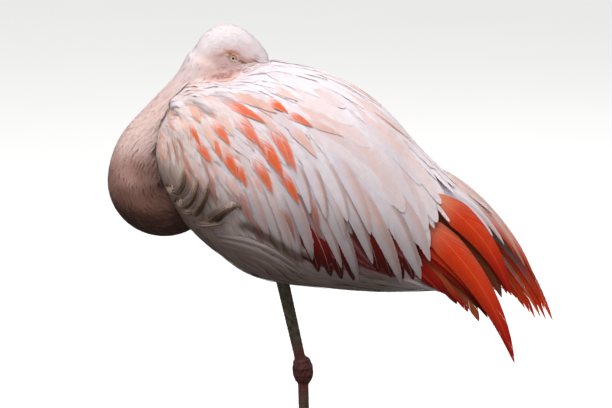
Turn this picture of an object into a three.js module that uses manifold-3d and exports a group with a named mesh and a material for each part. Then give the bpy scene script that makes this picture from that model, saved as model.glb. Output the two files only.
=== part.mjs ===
// Chilean flamingo resting on one leg, at life size: the neck is folded down and up in front of
// the breast, the head is laid back between the wings with the bill under the back feathers, and
// the right leg is drawn up against the belly.
// Millimetres, +Z up. The breast faces -X, the tail +X, the bird's left side -Y.
// The origin is on the floor, under the standing tarsus.

import * as THREE from 'three';
import { mergeVertices } from 'three/addons/utils/BufferGeometryUtils.js';
import Module from 'manifold-3d';

const wasm = await Module();
wasm.setup();

// ---------------------------------------------------------------- driving dimensions

const LEFT = -1;
const RIGHT = 1;
const GAP = 0.5; // clear space between neighbouring pieces
const FINEST = 0.15; // detail smaller than this is merged away after a cut

// Plumage of the body, from the shoulders to the rump: x, top, bottom, half width. Its sections are
// a little fuller at the sides than an ellipse.
const PLUMAGE = [
  [-173, 508, 500, 46],
  [-170, 533, 476, 56],
  [-164, 547, 459, 64],
  [-150, 571, 430, 73],
  [-134, 584, 407, 81],
  [-105, 592, 382, 88],
  [-74, 598, 359, 93],
  [-40, 600, 347, 96],
  [5, 594, 341, 96],
  [48, 576, 337, 92],
  [88, 547, 335, 84],
  [122, 508, 335, 73],
  [160, 470, 336, 58],
  [214, 424, 330, 40],
];
const SIDE_FULLNESS = 0.85; // power of the sine in a section, 1 for an ellipse

// Trunk under the wings, from the breast to the vent: x, top, bottom, half width.
const TRUNK = [
  [-152, 520, 440, 38],
  [-146, 545, 422, 52],
  [-134, 573, 403, 64],
  [-105, 590, 380, 76],
  [-74, 596, 357, 81],
  [-40, 598, 346, 83],
  [5, 592, 341, 82],
  [48, 573, 337, 75],
  [88, 538, 336, 60],
  [122, 480, 337, 45],
  [150, 432, 340, 33],
  [170, 398, 348, 22],
  [178, 384, 356, 12],
];

// Neck, walked from between the shoulders, down to the turn and up again to the nape. Each step is
// a turn in degrees and its bend radius, or no turn and a straight length.
const NECK_START = { x: -64, z: 498, heading: 180 };
const NECK_LENGTHS = [
  { name: 'neck_base', walk: [[0, 32], [90, 34]], girth: [33, 30.5], side: [6, 6] },
  { name: 'neck_lower', walk: [[-180, 34]], girth: [30.5, 32], side: [6, -6] },
  { name: 'neck_middle', walk: [[-42, 75], [0, 20]], girth: [32, 29.5], side: [-6, -3] },
  { name: 'neck_upper', walk: [[0, 42], [15, 100], [0, 21]], girth: [29.5, 26], side: [-3, 2] },
];
const NECK_STEP = 9; // distance between neighbouring sections

// Head, from the nape to the bill: x, top, bottom, half width.
const HEAD = [
  [-129, 616, 588, 12],
  [-121, 631, 582, 18],
  [-110, 640, 579, 22],
  [-97, 645, 577, 25],
  [-84, 644, 578, 25],
  [-71, 638, 581, 22],
  [-59, 628, 584, 18],
  [-50, 617, 586, 14.5],
  [-45, 609, 589, 11],
];
const HEAD_SIDE = 2; // the head leans a little to the right
const EYE = { x: -86, z: 609, radius: 7.2, from_middle: 17.5 };

// Bill, bent down in its middle: x, z, half depth, half width.
const BILL_UPPER = [
  [-52, 598, 8.5, 10],
  [-37, 588, 8.5, 10],
  [-20, 574, 7.5, 9],
  [-4, 556, 6.5, 8],
  [6, 533, 5.5, 7],
  [10, 510, 3.5, 5],
];
const BILL_LOWER = [
  [-60, 587, 6, 8],
  [-45, 576, 9, 10],
  [-31, 562, 11.5, 11],
  [-19, 545, 11, 10],
  [-9, 525, 8, 8],
  [-3, 509, 4, 5],
];

// Folded wing: a curved shell on the plumage, angles in degrees from the middle of the back.
const WING = {
  front: -172.6,
  rear: 184,
  thick_front: 15,
  thick_middle: 9,
  thick_edge: 1.6,
  crowding: 0.45, // how much closer the sections lie at the front
  lag: 0.012, // turn in radians that widens the shell by about a millimetre at its edges
};
const WING_TOP = [[-173, 40], [-150, 30], [-100, 24], [0, 20], [60, 18], [110, 7], [184, 8]];
const WING_LOW = [
  [-173, 118], [-150, 132], [-118, 140], [-78, 131], [-20, 138], [50, 140],
  [96, 136], [118, 104], [142, 74], [184, 44],
];

// Long feathers at the rear of each wing: root x and angle, tip x, y, z, half width.
const COVERT_SINK = 2.5; // how far their roots lie under the plumage
const COVERT_SAG = 5;
const COVERTS = [
  [-52, 108, 12, -78, 357, 13],
  [-30, 110, 56, -74, 352, 14],
  [-8, 100, 72, -76, 367, 14],
  [18, 92, 106, -64, 350, 15],
  [44, 84, 130, -60, 354, 15],
  [62, 66, 140, -58, 398, 15],
  [78, 50, 165, -48, 432, 13],
];

// Tail, flight feathers and plumes: each row is root x, y, z, then tip x, y, z, half width, sag.
const TAIL = [
  [140, 0, 398, 232, 0, 336, 12, 4],
  [140, 9, 397, 229, 13, 336, 12, 4],
  [140, 18, 396, 221, 25, 336, 11, 4],
];
const PRIMARIES = [
  [62, 75, 412, 206, 37, 330, 9, 10],
  [58, 75, 402, 196, 39, 324, 9, 10],
  [54, 75, 392, 184, 41, 320, 9, 10],
];
const PLUMES_LEFT = [
  [84, 66, 408, 190, 52, 311, 14, 20],
  [92, 64, 424, 222, 48, 288, 15, 32],
  [102, 60, 440, 238, 44, 256, 17, 44],
  [112, 53, 454, 232, 40, 318, 14, 36],
];
const PLUMES_RIGHT = [
  [90, 64, 410, 232, 46, 322, 9, 24],
  [95, 62, 420, 244, 45, 312, 9, 28],
  [100, 59, 432, 252, 43, 304, 9, 31],
  [106, 55, 444, 263, 40, 292, 9, 34],
  [112, 49, 456, 272, 36, 292, 9, 37],
  [118, 38, 468, 284, 31, 289, 10, 39],
];
const QUILL = 1.7; // half thickness of a long feather at its root
const QUILL_LOSS = 0.55; // share of that thickness that is gone at the tip
const PLUME_FACE = [0.25, 1, 0.35]; // the way a plume's face looks, on the right side
const TAIL_FACE = [0.5, 0, 0.85];

// Legs.
const STANDING = {
  knee: [-34, -24, 372],
  ankle: [-6, -7, 241],
  heel: [0, 0, 13],
  shank_turn: 0, // degrees about the side axis, from a tarsus that stands upright
  foot_turn: 0, // degrees about the side axis, from a foot that stands flat
  foot_joint: [0, 0, 13], // where the tarsus meets the foot, in the frame of the foot
};
const FOLDED = {
  knee: [88, 36, 420],
  ankle: [150, 34, 347],
  heel: [-68, 40, 369],
  shank_turn: 96,
  foot_turn: 30,
  foot_joint: [10, 0, 6],
};
const TIBIA_RADIUS = 6.4;
const TARSUS_RADIUS = 5.6;
const ANKLE = { long: 19, wide: 11.5, deep: 12.5, sunk: 0.55 }; // sunk: share the bones go in
const TOES = [
  { name: 'inner', length: 64, turn: 33 },
  { name: 'middle', length: 82, turn: 0 },
  { name: 'outer', length: 72, turn: -31 },
];
const TOE_HALF = 5.2; // half width of a toe at its root
const TOE_HIGH = 7.5; // height of a toe at its root
const WEB = { thick: 1.4, lift: 1.2, reach: 0.92, hollow: 0.9 };
const SOLE_PAD = { top: 6.5, bottom: 9, high: 12 };
const HIND_TOE = { length: 13, up: 4, drop: 8, behind: 3, root: 3.2, tip: 1.9 };
const CLAW = { length: 8, half: 2.3, tip: 0.5, flatness: 0.7 };
const FOLDED_TOE_SPREAD = 0.3; // toes of the raised foot are drawn together

// ---------------------------------------------------------------- materials

function finish(color, roughness, metalness = 0) {
  return new THREE.MeshStandardMaterial({ color, roughness, metalness });
}

const MATERIALS = {
  white_pink: finish(0xeed9d3, 0.8),
  neck_pink: finish(0xd9aa9f, 0.8),
  head_pink: finish(0xe6c9c4, 0.8),
  coral: finish(0xe0421c, 0.7),
  black: finish(0x1c1a1a, 0.6),
  bill_pale: finish(0xe4d8cc, 0.4),
  bill_dark: finish(0x17130f, 0.35),
  eye: finish(0xcfcf8c, 0.1),
  leg_grey: finish(0x7b7361, 0.6),
  ankle_red: finish(0x9a3c46, 0.6),
  claw: finish(0x2a2420, 0.4),
};

// ---------------------------------------------------------------- curves and solids

// Smooth curve through rows of numbers; at(t) gives a whole row, t from 0 to 1.
function track(rows) {
  const last = rows.length - 1;
  function slope(i, k) {
    const a = rows[Math.max(i - 1, 0)][k];
    const b = rows[Math.min(i + 1, last)][k];
    return (b - a) / (i === 0 || i === last ? 1 : 2);
  }
  return (t) => {
    const s = Math.min(Math.max(t, 0), 1) * last;
    const i = Math.min(Math.floor(s), last - 1);
    const f = s - i;
    return rows[i].map((value, k) => {
      const next = rows[i + 1][k];
      const bow = f * (1 - f);
      const start = slope(i, k) - (next - value);
      const end = (next - value) - slope(i + 1, k);
      return value + (next - value) * f + bow * (start * (1 - f) + end * f);
    });
  };
}

// Straight-line value of a table of [x, value] rows.
function value_at(rows, x) {
  const last = rows.length - 1;
  let i = 0;
  while (i < last - 1 && x > rows[i + 1][0]) i += 1;
  const f = (x - rows[i][0]) / (rows[i + 1][0] - rows[i][0]);
  return THREE.MathUtils.lerp(rows[i][1], rows[i + 1][1], THREE.MathUtils.clamp(f, 0, 1));
}

// Row of a station table at a given x, smooth between its stations.
function row_at(rows, x) {
  const last = rows.length - 1;
  let i = 0;
  while (i < last - 1 && x > rows[i + 1][0]) i += 1;
  const f = THREE.MathUtils.clamp((x - rows[i][0]) / (rows[i + 1][0] - rows[i][0]), 0, 1);
  const pick = [i - 1, i, i + 1, i + 2].map((j) => rows[THREE.MathUtils.clamp(j, 0, last)]);
  return rows[i].map((_, k) => {
    const [a, b, c, d] = pick.map((row) => row[k]);
    const run = rows[i + 1][0] - rows[i][0];
    const in_slope = pick[1] === pick[0] ? (c - b) / run : (c - a) / (pick[2][0] - pick[0][0]);
    const out_slope = pick[3] === pick[2] ? (c - b) / run : (d - b) / (pick[3][0] - pick[1][0]);
    const g = f * f * (3 - 2 * f);
    return b + (c - b) * g + run * f * (1 - f) * (in_slope * (1 - f) - out_slope * f);
  });
}

function degrees(angle) {
  return THREE.MathUtils.degToRad(angle);
}

// Closed geometry from a grid of rings, each a list of points going round; ends are capped.
function loft(rings) {
  const sides = rings[0].length;
  const points = rings.flat();
  const index = [];
  for (let r = 0; r < rings.length - 1; r += 1) {
    for (let s = 0; s < sides; s += 1) {
      const a = r * sides + s;
      const b = r * sides + ((s + 1) % sides);
      index.push(a, b, a + sides, b, b + sides, a + sides);
    }
  }
  [0, rings.length - 1].forEach((r) => {
    const middle = new THREE.Vector3();
    rings[r].forEach((p) => middle.addScaledVector(p, 1 / sides));
    points.push(middle);
    const centre = points.length - 1;
    for (let s = 0; s < sides; s += 1) {
      const a = r * sides + s;
      const b = r * sides + ((s + 1) % sides);
      if (r === 0) index.push(centre, b, a);
      else index.push(centre, a, b);
    }
  });
  return shell(points, index);
}

// Geometry of points and triangles, turned so that its faces point out.
function shell(points, index) {
  let volume = 0;
  for (let i = 0; i < index.length; i += 3) {
    const [a, b, c] = [points[index[i]], points[index[i + 1]], points[index[i + 2]]];
    volume += a.dot(new THREE.Vector3().crossVectors(b, c));
  }
  if (volume < 0) index.reverse();
  const geometry = new THREE.BufferGeometry().setFromPoints(points);
  geometry.setIndex(index);
  return geometry;
}

function solid(geometry) {
  const plain = geometry.clone();
  plain.deleteAttribute('normal');
  plain.deleteAttribute('uv');
  const merged = mergeVertices(plain, 1e-4);
  const vertProperties = new Float32Array(merged.attributes.position.array);
  const triVerts = new Uint32Array(merged.index.array);
  return new wasm.Manifold(new wasm.Mesh({ numProp: 3, vertProperties, triVerts }));
}

function join(solids) {
  return solids.reduce((sum, next) => sum.add(next));
}

function cut(body, cutters) {
  return cutters.reduce((rest, cutter) => rest.subtract(cutter), body);
}

// Largest single body of a cut solid, as a geometry.
function geometry_of(body) {
  const largest = body.decompose().sort((a, b) => b.volume() - a.volume())[0];
  const mesh = largest.simplify(FINEST).getMesh();
  const geometry = new THREE.BufferGeometry();
  geometry.setAttribute('position', new THREE.BufferAttribute(mesh.vertProperties, 3));
  geometry.setIndex(new THREE.BufferAttribute(mesh.triVerts, 1));
  return geometry;
}

// Tube through stations of a point, a direction and a radius.
function tube(stations, sides, grow = 0) {
  const rings = stations.map(({ point, way, radius }, i) => {
    const side = new THREE.Vector3(0, 1, 0).addScaledVector(way, -way.y).normalize();
    const up = new THREE.Vector3().crossVectors(way, side);
    const centre = point.clone();
    if (i === 0) centre.addScaledVector(way, -grow);
    if (i === stations.length - 1) centre.addScaledVector(way, grow);
    return ring(centre, up, side, radius + grow, radius + grow, sides);
  });
  return loft(rings);
}

function ring(centre, up, side, high, wide, sides) {
  const points = [];
  for (let s = 0; s < sides; s += 1) {
    const angle = (2 * Math.PI * s) / sides;
    points.push(centre.clone()
      .addScaledVector(up, high * Math.cos(angle))
      .addScaledVector(side, wide * Math.sin(angle)));
  }
  return points;
}

// Body of upright sections from a station table of x, top, bottom, half width. The sections lie
// closer together towards both ends.
function sections(rows, { steps, sides, offset = 0, grow = 0 }) {
  const [first, last] = [rows[0][0], rows[rows.length - 1][0]];
  const up = new THREE.Vector3(0, 0, 1);
  const side = new THREE.Vector3(0, 1, 0);
  const rings = [];
  for (let i = 0; i <= steps; i += 1) {
    const even = i / steps;
    const eased = 0.5 - 0.5 * Math.cos(Math.PI * even);
    const x = THREE.MathUtils.lerp(first, last, (even + eased) / 2);
    const [, top, bottom, half] = row_at(rows, x);
    const centre = new THREE.Vector3(x, offset, (top + bottom) / 2);
    if (i === 0) centre.x -= grow;
    if (i === steps) centre.x += grow;
    rings.push(ring(centre, up, side, (top - bottom) / 2 + grow, half + grow, sides));
  }
  return loft(rings);
}

// Point on the plumage at x and an angle from the top, with its outward direction.
function plumage_point(x, angle, side) {
  function place(px, pa) {
    const [, top, bottom, half] = row_at(PLUMAGE, px);
    const width = half * Math.abs(Math.sin(pa)) ** SIDE_FULLNESS;
    const height = (top + bottom) / 2 + ((top - bottom) / 2) * Math.cos(pa);
    return new THREE.Vector3(px, side * width, height);
  }
  const [step, turn] = [0.5, 0.02];
  const along = place(x + step, angle).sub(place(x - step, angle));
  const around = place(x, angle + turn).sub(place(x, angle - turn));
  const out = new THREE.Vector3().crossVectors(along, around).multiplyScalar(-side).normalize();
  if (out.y * side < 0) out.negate();
  return { point: place(x, angle), out };
}

// Flat feather solid along a sagging curve; its faces look along `out`.
function blade(root, tip, half, sag, out, grow = 0) {
  const chord = tip.clone().sub(root).normalize();
  const square = new THREE.Vector3(-chord.z, 0, chord.x);
  const middle = root.clone().lerp(tip, 0.5).addScaledVector(square, sag);
  const curve = new THREE.QuadraticBezierCurve3(root, middle, tip);
  const steps = 6;
  const rings = [];
  for (let i = 0; i <= steps; i += 1) {
    const t = i / steps;
    const point = curve.getPoint(t);
    const tangent = curve.getTangent(t);
    const across = new THREE.Vector3().crossVectors(out, tangent).normalize();
    const face = new THREE.Vector3().crossVectors(tangent, across).normalize();
    const round_tip = Math.sqrt(Math.max(1 - t ** 3, 0.03));
    const taper = Math.min(0.75 + 0.5 * t, 1) * round_tip;
    if (i === 0) point.addScaledVector(tangent, -grow);
    if (i === steps) point.addScaledVector(tangent, grow);
    const thick = QUILL * (1 - QUILL_LOSS * t) + grow;
    rings.push([
      point.clone().addScaledVector(across, half * taper + grow),
      point.clone().addScaledVector(face, thick),
      point.clone().addScaledVector(across, -half * taper - grow),
      point.clone().addScaledVector(face, -thick),
    ]);
  }
  return loft(rings);
}

// ---------------------------------------------------------------- trunk, neck, head, bill, eyes

function trunk_shape(grow = 0) {
  return sections(TRUNK, { steps: 13, sides: 16, grow });
}

// Stations of every neck length, in the order of NECK_LENGTHS.
function neck_stations() {
  let { x, z, heading } = NECK_START;
  return NECK_LENGTHS.map(({ walk, girth, side }) => {
    const marks = [{ x, z, heading, gone: 0 }];
    let gone = 0;
    walk.forEach(([turn, size]) => {
      const distance = turn === 0 ? size : Math.abs(degrees(turn)) * size;
      const count = Math.ceil(distance / NECK_STEP);
      for (let i = 0; i < count; i += 1) {
        const aim = degrees(heading + turn / count / 2);
        x += (distance / count) * Math.cos(aim);
        z += (distance / count) * Math.sin(aim);
        heading += turn / count;
        gone += distance / count;
        marks.push({ x, z, heading, gone });
      }
    });
    return marks.map((mark) => {
      const t = mark.gone / gone;
      const aim = degrees(mark.heading);
      return {
        point: new THREE.Vector3(mark.x, THREE.MathUtils.lerp(...side, t), mark.z),
        way: new THREE.Vector3(Math.cos(aim), 0, Math.sin(aim)),
        radius: THREE.MathUtils.lerp(...girth, t),
      };
    });
  });
}

const NECK_STATIONS = neck_stations();

function neck_length(index, grow = 0) {
  const stations = NECK_STATIONS[index].map((station) => ({ ...station }));
  if (index > 0) {
    stations[0].point = stations[0].point.clone().addScaledVector(stations[0].way, GAP);
  }
  return tube(stations, 12, grow);
}

function head_shape(grow = 0) {
  return sections(HEAD, { steps: 11, sides: 16, offset: HEAD_SIDE, grow });
}

// One half of the bill, of sections square to its bent middle line.
function bill_half(rows, grow = 0) {
  const at = track(rows);
  const side = new THREE.Vector3(0, 1, 0);
  const steps = 8;
  const reach = 0.02;
  const rings = [];
  for (let i = 0; i <= steps; i += 1) {
    const t = i / steps;
    const [x, z, depth, width] = at(t);
    const [ahead, behind] = [at(t + reach), at(t - reach)];
    const tangent = new THREE.Vector3(ahead[0] - behind[0], 0, ahead[1] - behind[1]).normalize();
    const up = new THREE.Vector3().crossVectors(tangent, side);
    const centre = new THREE.Vector3(x, HEAD_SIDE, z);
    if (i === 0) centre.addScaledVector(tangent, -grow);
    if (i === steps) centre.addScaledVector(tangent, grow);
    rings.push(ring(centre, up, side, depth + grow, width + grow, 10));
  }
  return loft(rings);
}

function eye_ball(side, grow = 0) {
  const ball = new THREE.SphereGeometry(EYE.radius + grow, 10, 7);
  ball.rotateX(Math.PI / 2);
  return ball.translate(EYE.x, HEAD_SIDE + side * EYE.from_middle, EYE.z);
}

// ---------------------------------------------------------------- wings

// Thickness of the wing shell at u from its front to its rear and v from its top to its low edge.
function wing_thickness(u, v) {
  const near_rim = Math.min(1, 4 * (1 - u), 3 * (1 - v) + 0.12, 5 * v + 0.35);
  const full = THREE.MathUtils.lerp(WING.thick_front, WING.thick_middle, Math.min(2.5 * u, 1));
  return THREE.MathUtils.lerp(WING.thick_edge, full, near_rim);
}

function wing_shell(side, grow = 0) {
  const columns = 15;
  const rows = 7;
  const outer = [];
  const inner = [];
  for (let c = 0; c <= columns; c += 1) {
    const u = c / columns;
    const along = THREE.MathUtils.lerp(u, u ** 2, WING.crowding);
    const x = THREE.MathUtils.lerp(WING.front, WING.rear, along);
    const top = degrees(value_at(WING_TOP, x)) - grow * WING.lag;
    const low = degrees(value_at(WING_LOW, x)) + grow * WING.lag;
    for (let r = 0; r <= rows; r += 1) {
      const v = r / rows;
      const { point, out } = plumage_point(x, THREE.MathUtils.lerp(top, low, v), side);
      const thick = wing_thickness(u, v);
      outer.push(point.clone().addScaledVector(out, grow));
      inner.push(point.clone().addScaledVector(out, -thick - grow));
    }
  }
  return patch(outer, inner, columns, rows);
}

// Closed solid between two grids of points, joined round their rim.
function patch(outer, inner, columns, rows) {
  const points = [...outer, ...inner];
  const lift = outer.length;
  const id = (c, r) => c * (rows + 1) + r;
  const index = [];
  for (let c = 0; c < columns; c += 1) {
    for (let r = 0; r < rows; r += 1) {
      const [a, b, d, e] = [id(c, r), id(c + 1, r), id(c + 1, r + 1), id(c, r + 1)];
      index.push(a, b, d, a, d, e);
      index.push(lift + a, lift + d, lift + b, lift + a, lift + e, lift + d);
    }
  }
  const rim = [];
  for (let c = 0; c < columns; c += 1) rim.push(id(c, 0));
  for (let r = 0; r < rows; r += 1) rim.push(id(columns, r));
  for (let c = columns; c > 0; c -= 1) rim.push(id(c, rows));
  for (let r = rows; r > 0; r -= 1) rim.push(id(0, r));
  rim.forEach((a, i) => {
    const b = rim[(i + 1) % rim.length];
    index.push(a, lift + a, b, b, lift + a, lift + b);
  });
  return shell(points, index);
}

function covert(row, side, grow = 0) {
  const [root_x, angle, x, y, z, half] = row;
  const { point, out } = plumage_point(root_x, degrees(angle), side);
  const root = point.addScaledVector(out, -COVERT_SINK);
  const tip = new THREE.Vector3(x, -side * y, z);
  return blade(root, tip, half, COVERT_SAG, out, grow);
}

function wing_solid(side, grow = 0) {
  return join([solid(wing_shell(side, grow)), ...COVERTS.map((row) => solid(covert(row, side, grow)))]);
}

// ---------------------------------------------------------------- tail and long feathers

function row_blade(row, side, grow = 0) {
  const [ax, ay, az, bx, by, bz, half, sag] = row;
  const root = new THREE.Vector3(ax, side * ay, az);
  const tip = new THREE.Vector3(bx, side * by, bz);
  const [ahead, sideways, up] = PLUME_FACE;
  const out = new THREE.Vector3(ahead, side * sideways, up).normalize();
  return solid(blade(root, tip, half, sag, out, grow));
}

function bundle(rows, side, grow = 0) {
  return join(rows.map((row) => row_blade(row, side, grow)));
}

function tail_solid(grow = 0) {
  const up = new THREE.Vector3(...TAIL_FACE);
  const feathers = [];
  TAIL.forEach(([ax, ay, az, bx, by, bz, half, sag]) => {
    [LEFT, RIGHT].forEach((side) => {
      const root = new THREE.Vector3(ax, side * ay, az);
      const tip = new THREE.Vector3(bx, side * by, bz);
      feathers.push(solid(blade(root, tip, half, sag, up, grow)));
    });
  });
  return join(feathers);
}

// ---------------------------------------------------------------- legs

// Straight round bar between two points, with its radius at each.
function bar(a, b, radius_a, radius_b, sides = 10, grow = 0) {
  const [start, end] = [new THREE.Vector3(...a), new THREE.Vector3(...b)];
  const way = end.clone().sub(start).normalize();
  const stations = [{ point: start, way, radius: radius_a }, { point: end, way, radius: radius_b }];
  return tube(stations, sides, grow);
}

function towards(a, b, distance) {
  const [from, to] = [new THREE.Vector3(...a), new THREE.Vector3(...b)];
  const way = to.clone().sub(from).normalize();
  return from.addScaledVector(way, distance).toArray();
}

function ankle_joint(leg, grow = 0) {
  const knot = new THREE.SphereGeometry(1, 10, 7);
  knot.rotateX(Math.PI / 2);
  knot.scale(ANKLE.deep + grow, ANKLE.wide + grow, ANKLE.long + grow);
  const up = new THREE.Vector3(...leg.knee).sub(new THREE.Vector3(...leg.ankle)).normalize();
  const down = new THREE.Vector3(...leg.ankle).sub(new THREE.Vector3(...leg.heel)).normalize();
  const axis = up.add(down).normalize();
  knot.applyQuaternion(new THREE.Quaternion().setFromUnitVectors(new THREE.Vector3(0, 0, 1), axis));
  return knot.translate(...leg.ankle);
}

// Toe with a flat sole on z = 0, pointing along -X, from its root at the origin.
function toe(length, grow = 0) {
  const outline = [];
  const joints = 5;
  for (let i = 0; i <= joints; i += 1) {
    const t = i / joints;
    const swell = 1 + 0.08 * Math.cos(6 * Math.PI * t);
    const half = TOE_HALF * (1 - 0.5 * t) * swell + grow;
    const high = TOE_HIGH * (1 - 0.55 * t) * swell + grow;
    const x = -length * t + (i === 0 ? grow : 0) - (i === joints ? grow : 0);
    outline.push([
      new THREE.Vector3(x, -half * 0.8, -grow),
      new THREE.Vector3(x, -half, high * 0.45),
      new THREE.Vector3(x, -half * 0.5, high),
      new THREE.Vector3(x, half * 0.5, high),
      new THREE.Vector3(x, half, high * 0.45),
      new THREE.Vector3(x, half * 0.8, -grow),
    ]);
  }
  return loft(outline);
}

// Thin web between two toes, its free edge hollowed towards the foot.
function web(toe_a, toe_b, spread, grow = 0) {
  const steps = 6;
  const rim = [new THREE.Vector2(4, 0)];
  for (let i = 0; i <= steps; i += 1) {
    const t = i / steps;
    const turn = degrees(THREE.MathUtils.lerp(toe_a.turn, toe_b.turn, t) * spread);
    const share = WEB.reach - WEB.hollow * t * (1 - t);
    const reach = THREE.MathUtils.lerp(toe_a.length, toe_b.length, t) * share;
    rim.push(new THREE.Vector2(-reach * Math.cos(turn), -reach * Math.sin(turn)));
  }
  const depth = WEB.thick + 2 * grow;
  const plate = new THREE.ExtrudeGeometry(new THREE.Shape(rim), { depth, bevelEnabled: false });
  return plate.translate(0, 0, WEB.lift - grow);
}

// Foot with its heel over the origin: three toes, the webs between them and the sole pad.
function foot_solid(spread, grow = 0) {
  const toes = TOES.map(({ length, turn }) => {
    return solid(toe(length, grow).rotateZ(degrees(turn * spread)));
  });
  const webs = [0, 1].map((i) => solid(web(TOES[i], TOES[i + 1], spread, grow)));
  const { top, bottom, high } = SOLE_PAD;
  const pad = new THREE.CylinderGeometry(top + grow, bottom + grow, high + grow, 14);
  pad.rotateX(Math.PI / 2).translate(0, 0, (high - grow) / 2);
  return join([...toes, ...webs, solid(pad)]);
}

// Claw of one toe, in the frame of its foot.
function claw({ length, turn }, spread, grow = 0) {
  const long = CLAW.length + 2 * grow;
  const cone = new THREE.CylinderGeometry(CLAW.tip + grow, CLAW.half + grow, long, 8);
  cone.rotateZ(Math.PI / 2).scale(1, 1, CLAW.flatness);
  cone.translate(-length - GAP - CLAW.length / 2, 0, CLAW.half * CLAW.flatness + GAP);
  return cone.rotateZ(degrees(turn * spread));
}

function hind_toe(grow = 0) {
  const back = TARSUS_RADIUS + HIND_TOE.behind;
  const start = [back, 0, HIND_TOE.up];
  const end = [back + HIND_TOE.length, 0, HIND_TOE.up - HIND_TOE.drop];
  return bar(start, end, HIND_TOE.root, HIND_TOE.tip, 8, grow);
}

// Matrix that sets a point of a part's own frame on a place, turned about the side axis.
function placing(place, turn, joint = [0, 0, 0]) {
  const matrix = new THREE.Matrix4().makeTranslation(...place);
  matrix.multiply(new THREE.Matrix4().makeRotationY(degrees(turn)));
  return matrix.multiply(new THREE.Matrix4().makeTranslation(...joint.map((value) => -value)));
}

function posed(leg, spread) {
  return {
    ...leg,
    spread,
    foot: placing(leg.heel, leg.foot_turn, leg.foot_joint),
    shank: placing(leg.heel, leg.shank_turn),
  };
}

const LEGS = {
  left: posed(STANDING, 1),
  right: posed(FOLDED, FOLDED_TOE_SPREAD),
};

function tibia(leg, grow = 0) {
  const end = towards(leg.ankle, leg.knee, ANKLE.long * ANKLE.sunk);
  return bar(leg.knee, end, TIBIA_RADIUS + 1.5, TIBIA_RADIUS, 12, grow);
}

function tarsus(leg, grow = 0) {
  const start = towards(leg.ankle, leg.heel, ANKLE.long * ANKLE.sunk);
  const end = towards(leg.heel, leg.ankle, GAP);
  return bar(start, end, TARSUS_RADIUS + 0.8, TARSUS_RADIUS, 12, grow);
}

function placed_foot(leg, grow = 0) {
  return foot_solid(leg.spread, grow).transform(leg.foot.elements);
}

// ---------------------------------------------------------------- the flamingo

const flamingo = new THREE.Group();

function piece(name, geometry, material) {
  const mesh = new THREE.Mesh(geometry, MATERIALS[material]);
  mesh.name = name;
  flamingo.add(mesh);
}

// Everything that a neighbour has to keep clear of, a gap larger than it is.
const CLEAR = {
  neck: NECK_LENGTHS.map((_, i) => solid(neck_length(i, GAP))),
  head: [solid(head_shape(GAP))],
  bill: [BILL_UPPER, BILL_LOWER].map((rows) => solid(bill_half(rows, GAP))),
  eyes: [LEFT, RIGHT].map((side) => solid(eye_ball(side, GAP))),
  wings: [LEFT, RIGHT].map((side) => wing_solid(side, GAP)),
  trunk: [solid(trunk_shape(GAP))],
  tail: [tail_solid(GAP)],
  primaries: [LEFT, RIGHT].map((side) => bundle(PRIMARIES, side, GAP)),
  legs: Object.values(LEGS).flatMap((leg) => [
    solid(tibia(leg, GAP)),
    solid(ankle_joint(leg, GAP)),
    solid(tarsus(leg, GAP)),
    placed_foot(leg, GAP),
    solid(hind_toe(GAP).applyMatrix4(leg.shank)),
    ...TOES.map((t) => solid(claw(t, leg.spread, GAP).applyMatrix4(leg.foot))),
  ]),
};

function add_body() {
  const { neck, head, bill, wings, legs } = CLEAR;
  const trunk = cut(solid(trunk_shape()), [...neck, ...head, ...bill, ...wings, ...legs]);
  piece('trunk', geometry_of(trunk), 'white_pink');
  piece('tail', geometry_of(cut(tail_solid(), [...CLEAR.trunk, ...wings])), 'white_pink');
}

function add_neck_and_head() {
  NECK_LENGTHS.forEach(({ name }, i) => {
    const rest = solid(neck_length(i));
    const near = i === NECK_LENGTHS.length - 1 ? CLEAR.head : [];
    piece(name, geometry_of(cut(rest, near)), 'neck_pink');
  });
  const head = cut(solid(head_shape()), [...CLEAR.bill, ...CLEAR.eyes]);
  piece('head', geometry_of(head), 'head_pink');
  const upper = solid(bill_half(BILL_UPPER));
  piece('bill_upper', geometry_of(upper), 'bill_pale');
  const lower = cut(solid(bill_half(BILL_LOWER)), [CLEAR.bill[0]]);
  piece('bill_lower', geometry_of(lower), 'bill_dark');
  piece('eye_left', geometry_of(solid(eye_ball(RIGHT))), 'eye');
  piece('eye_right', geometry_of(solid(eye_ball(LEFT))), 'eye');
}

function add_wing(name, side, plumes) {
  const wing = cut(wing_solid(side), [...CLEAR.neck, ...CLEAR.head, ...CLEAR.bill, ...CLEAR.legs]);
  piece(`wing_${name}`, geometry_of(wing), 'white_pink');
  const inside = [...CLEAR.trunk, ...CLEAR.wings, ...CLEAR.tail];
  const flight = cut(bundle(PRIMARIES, side), [...inside, ...CLEAR.legs]);
  piece(`primaries_${name}`, geometry_of(flight), 'black');
  const long = cut(bundle(plumes, side), [...inside, ...CLEAR.primaries]);
  piece(`plumes_${name}`, geometry_of(long), 'coral');
}

function add_leg(name, leg) {
  const ankle = solid(ankle_joint(leg));
  const near = [solid(ankle_joint(leg, GAP))];
  const folded_on = [...near, solid(tarsus(leg, GAP))];
  piece(`tibia_${name}`, geometry_of(cut(solid(tibia(leg)), folded_on)), 'leg_grey');
  piece(`ankle_${name}`, geometry_of(ankle), 'ankle_red');
  piece(`tarsus_${name}`, geometry_of(cut(solid(tarsus(leg)), near)), 'leg_grey');
  piece(`foot_${name}`, geometry_of(placed_foot(leg)), 'leg_grey');
  piece(`hind_toe_${name}`, hind_toe().applyMatrix4(leg.shank), 'leg_grey');
  TOES.forEach((t) => {
    const nail = claw(t, leg.spread).applyMatrix4(leg.foot);
    piece(`claw_${t.name}_${name}`, nail, 'claw');
  });
}

add_body();
add_neck_and_head();
add_wing('left', LEFT, PLUMES_LEFT);
add_wing('right', RIGHT, PLUMES_RIGHT);
add_leg('left', LEGS.left);
add_leg('right', LEGS.right);

export default flamingo;
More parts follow.
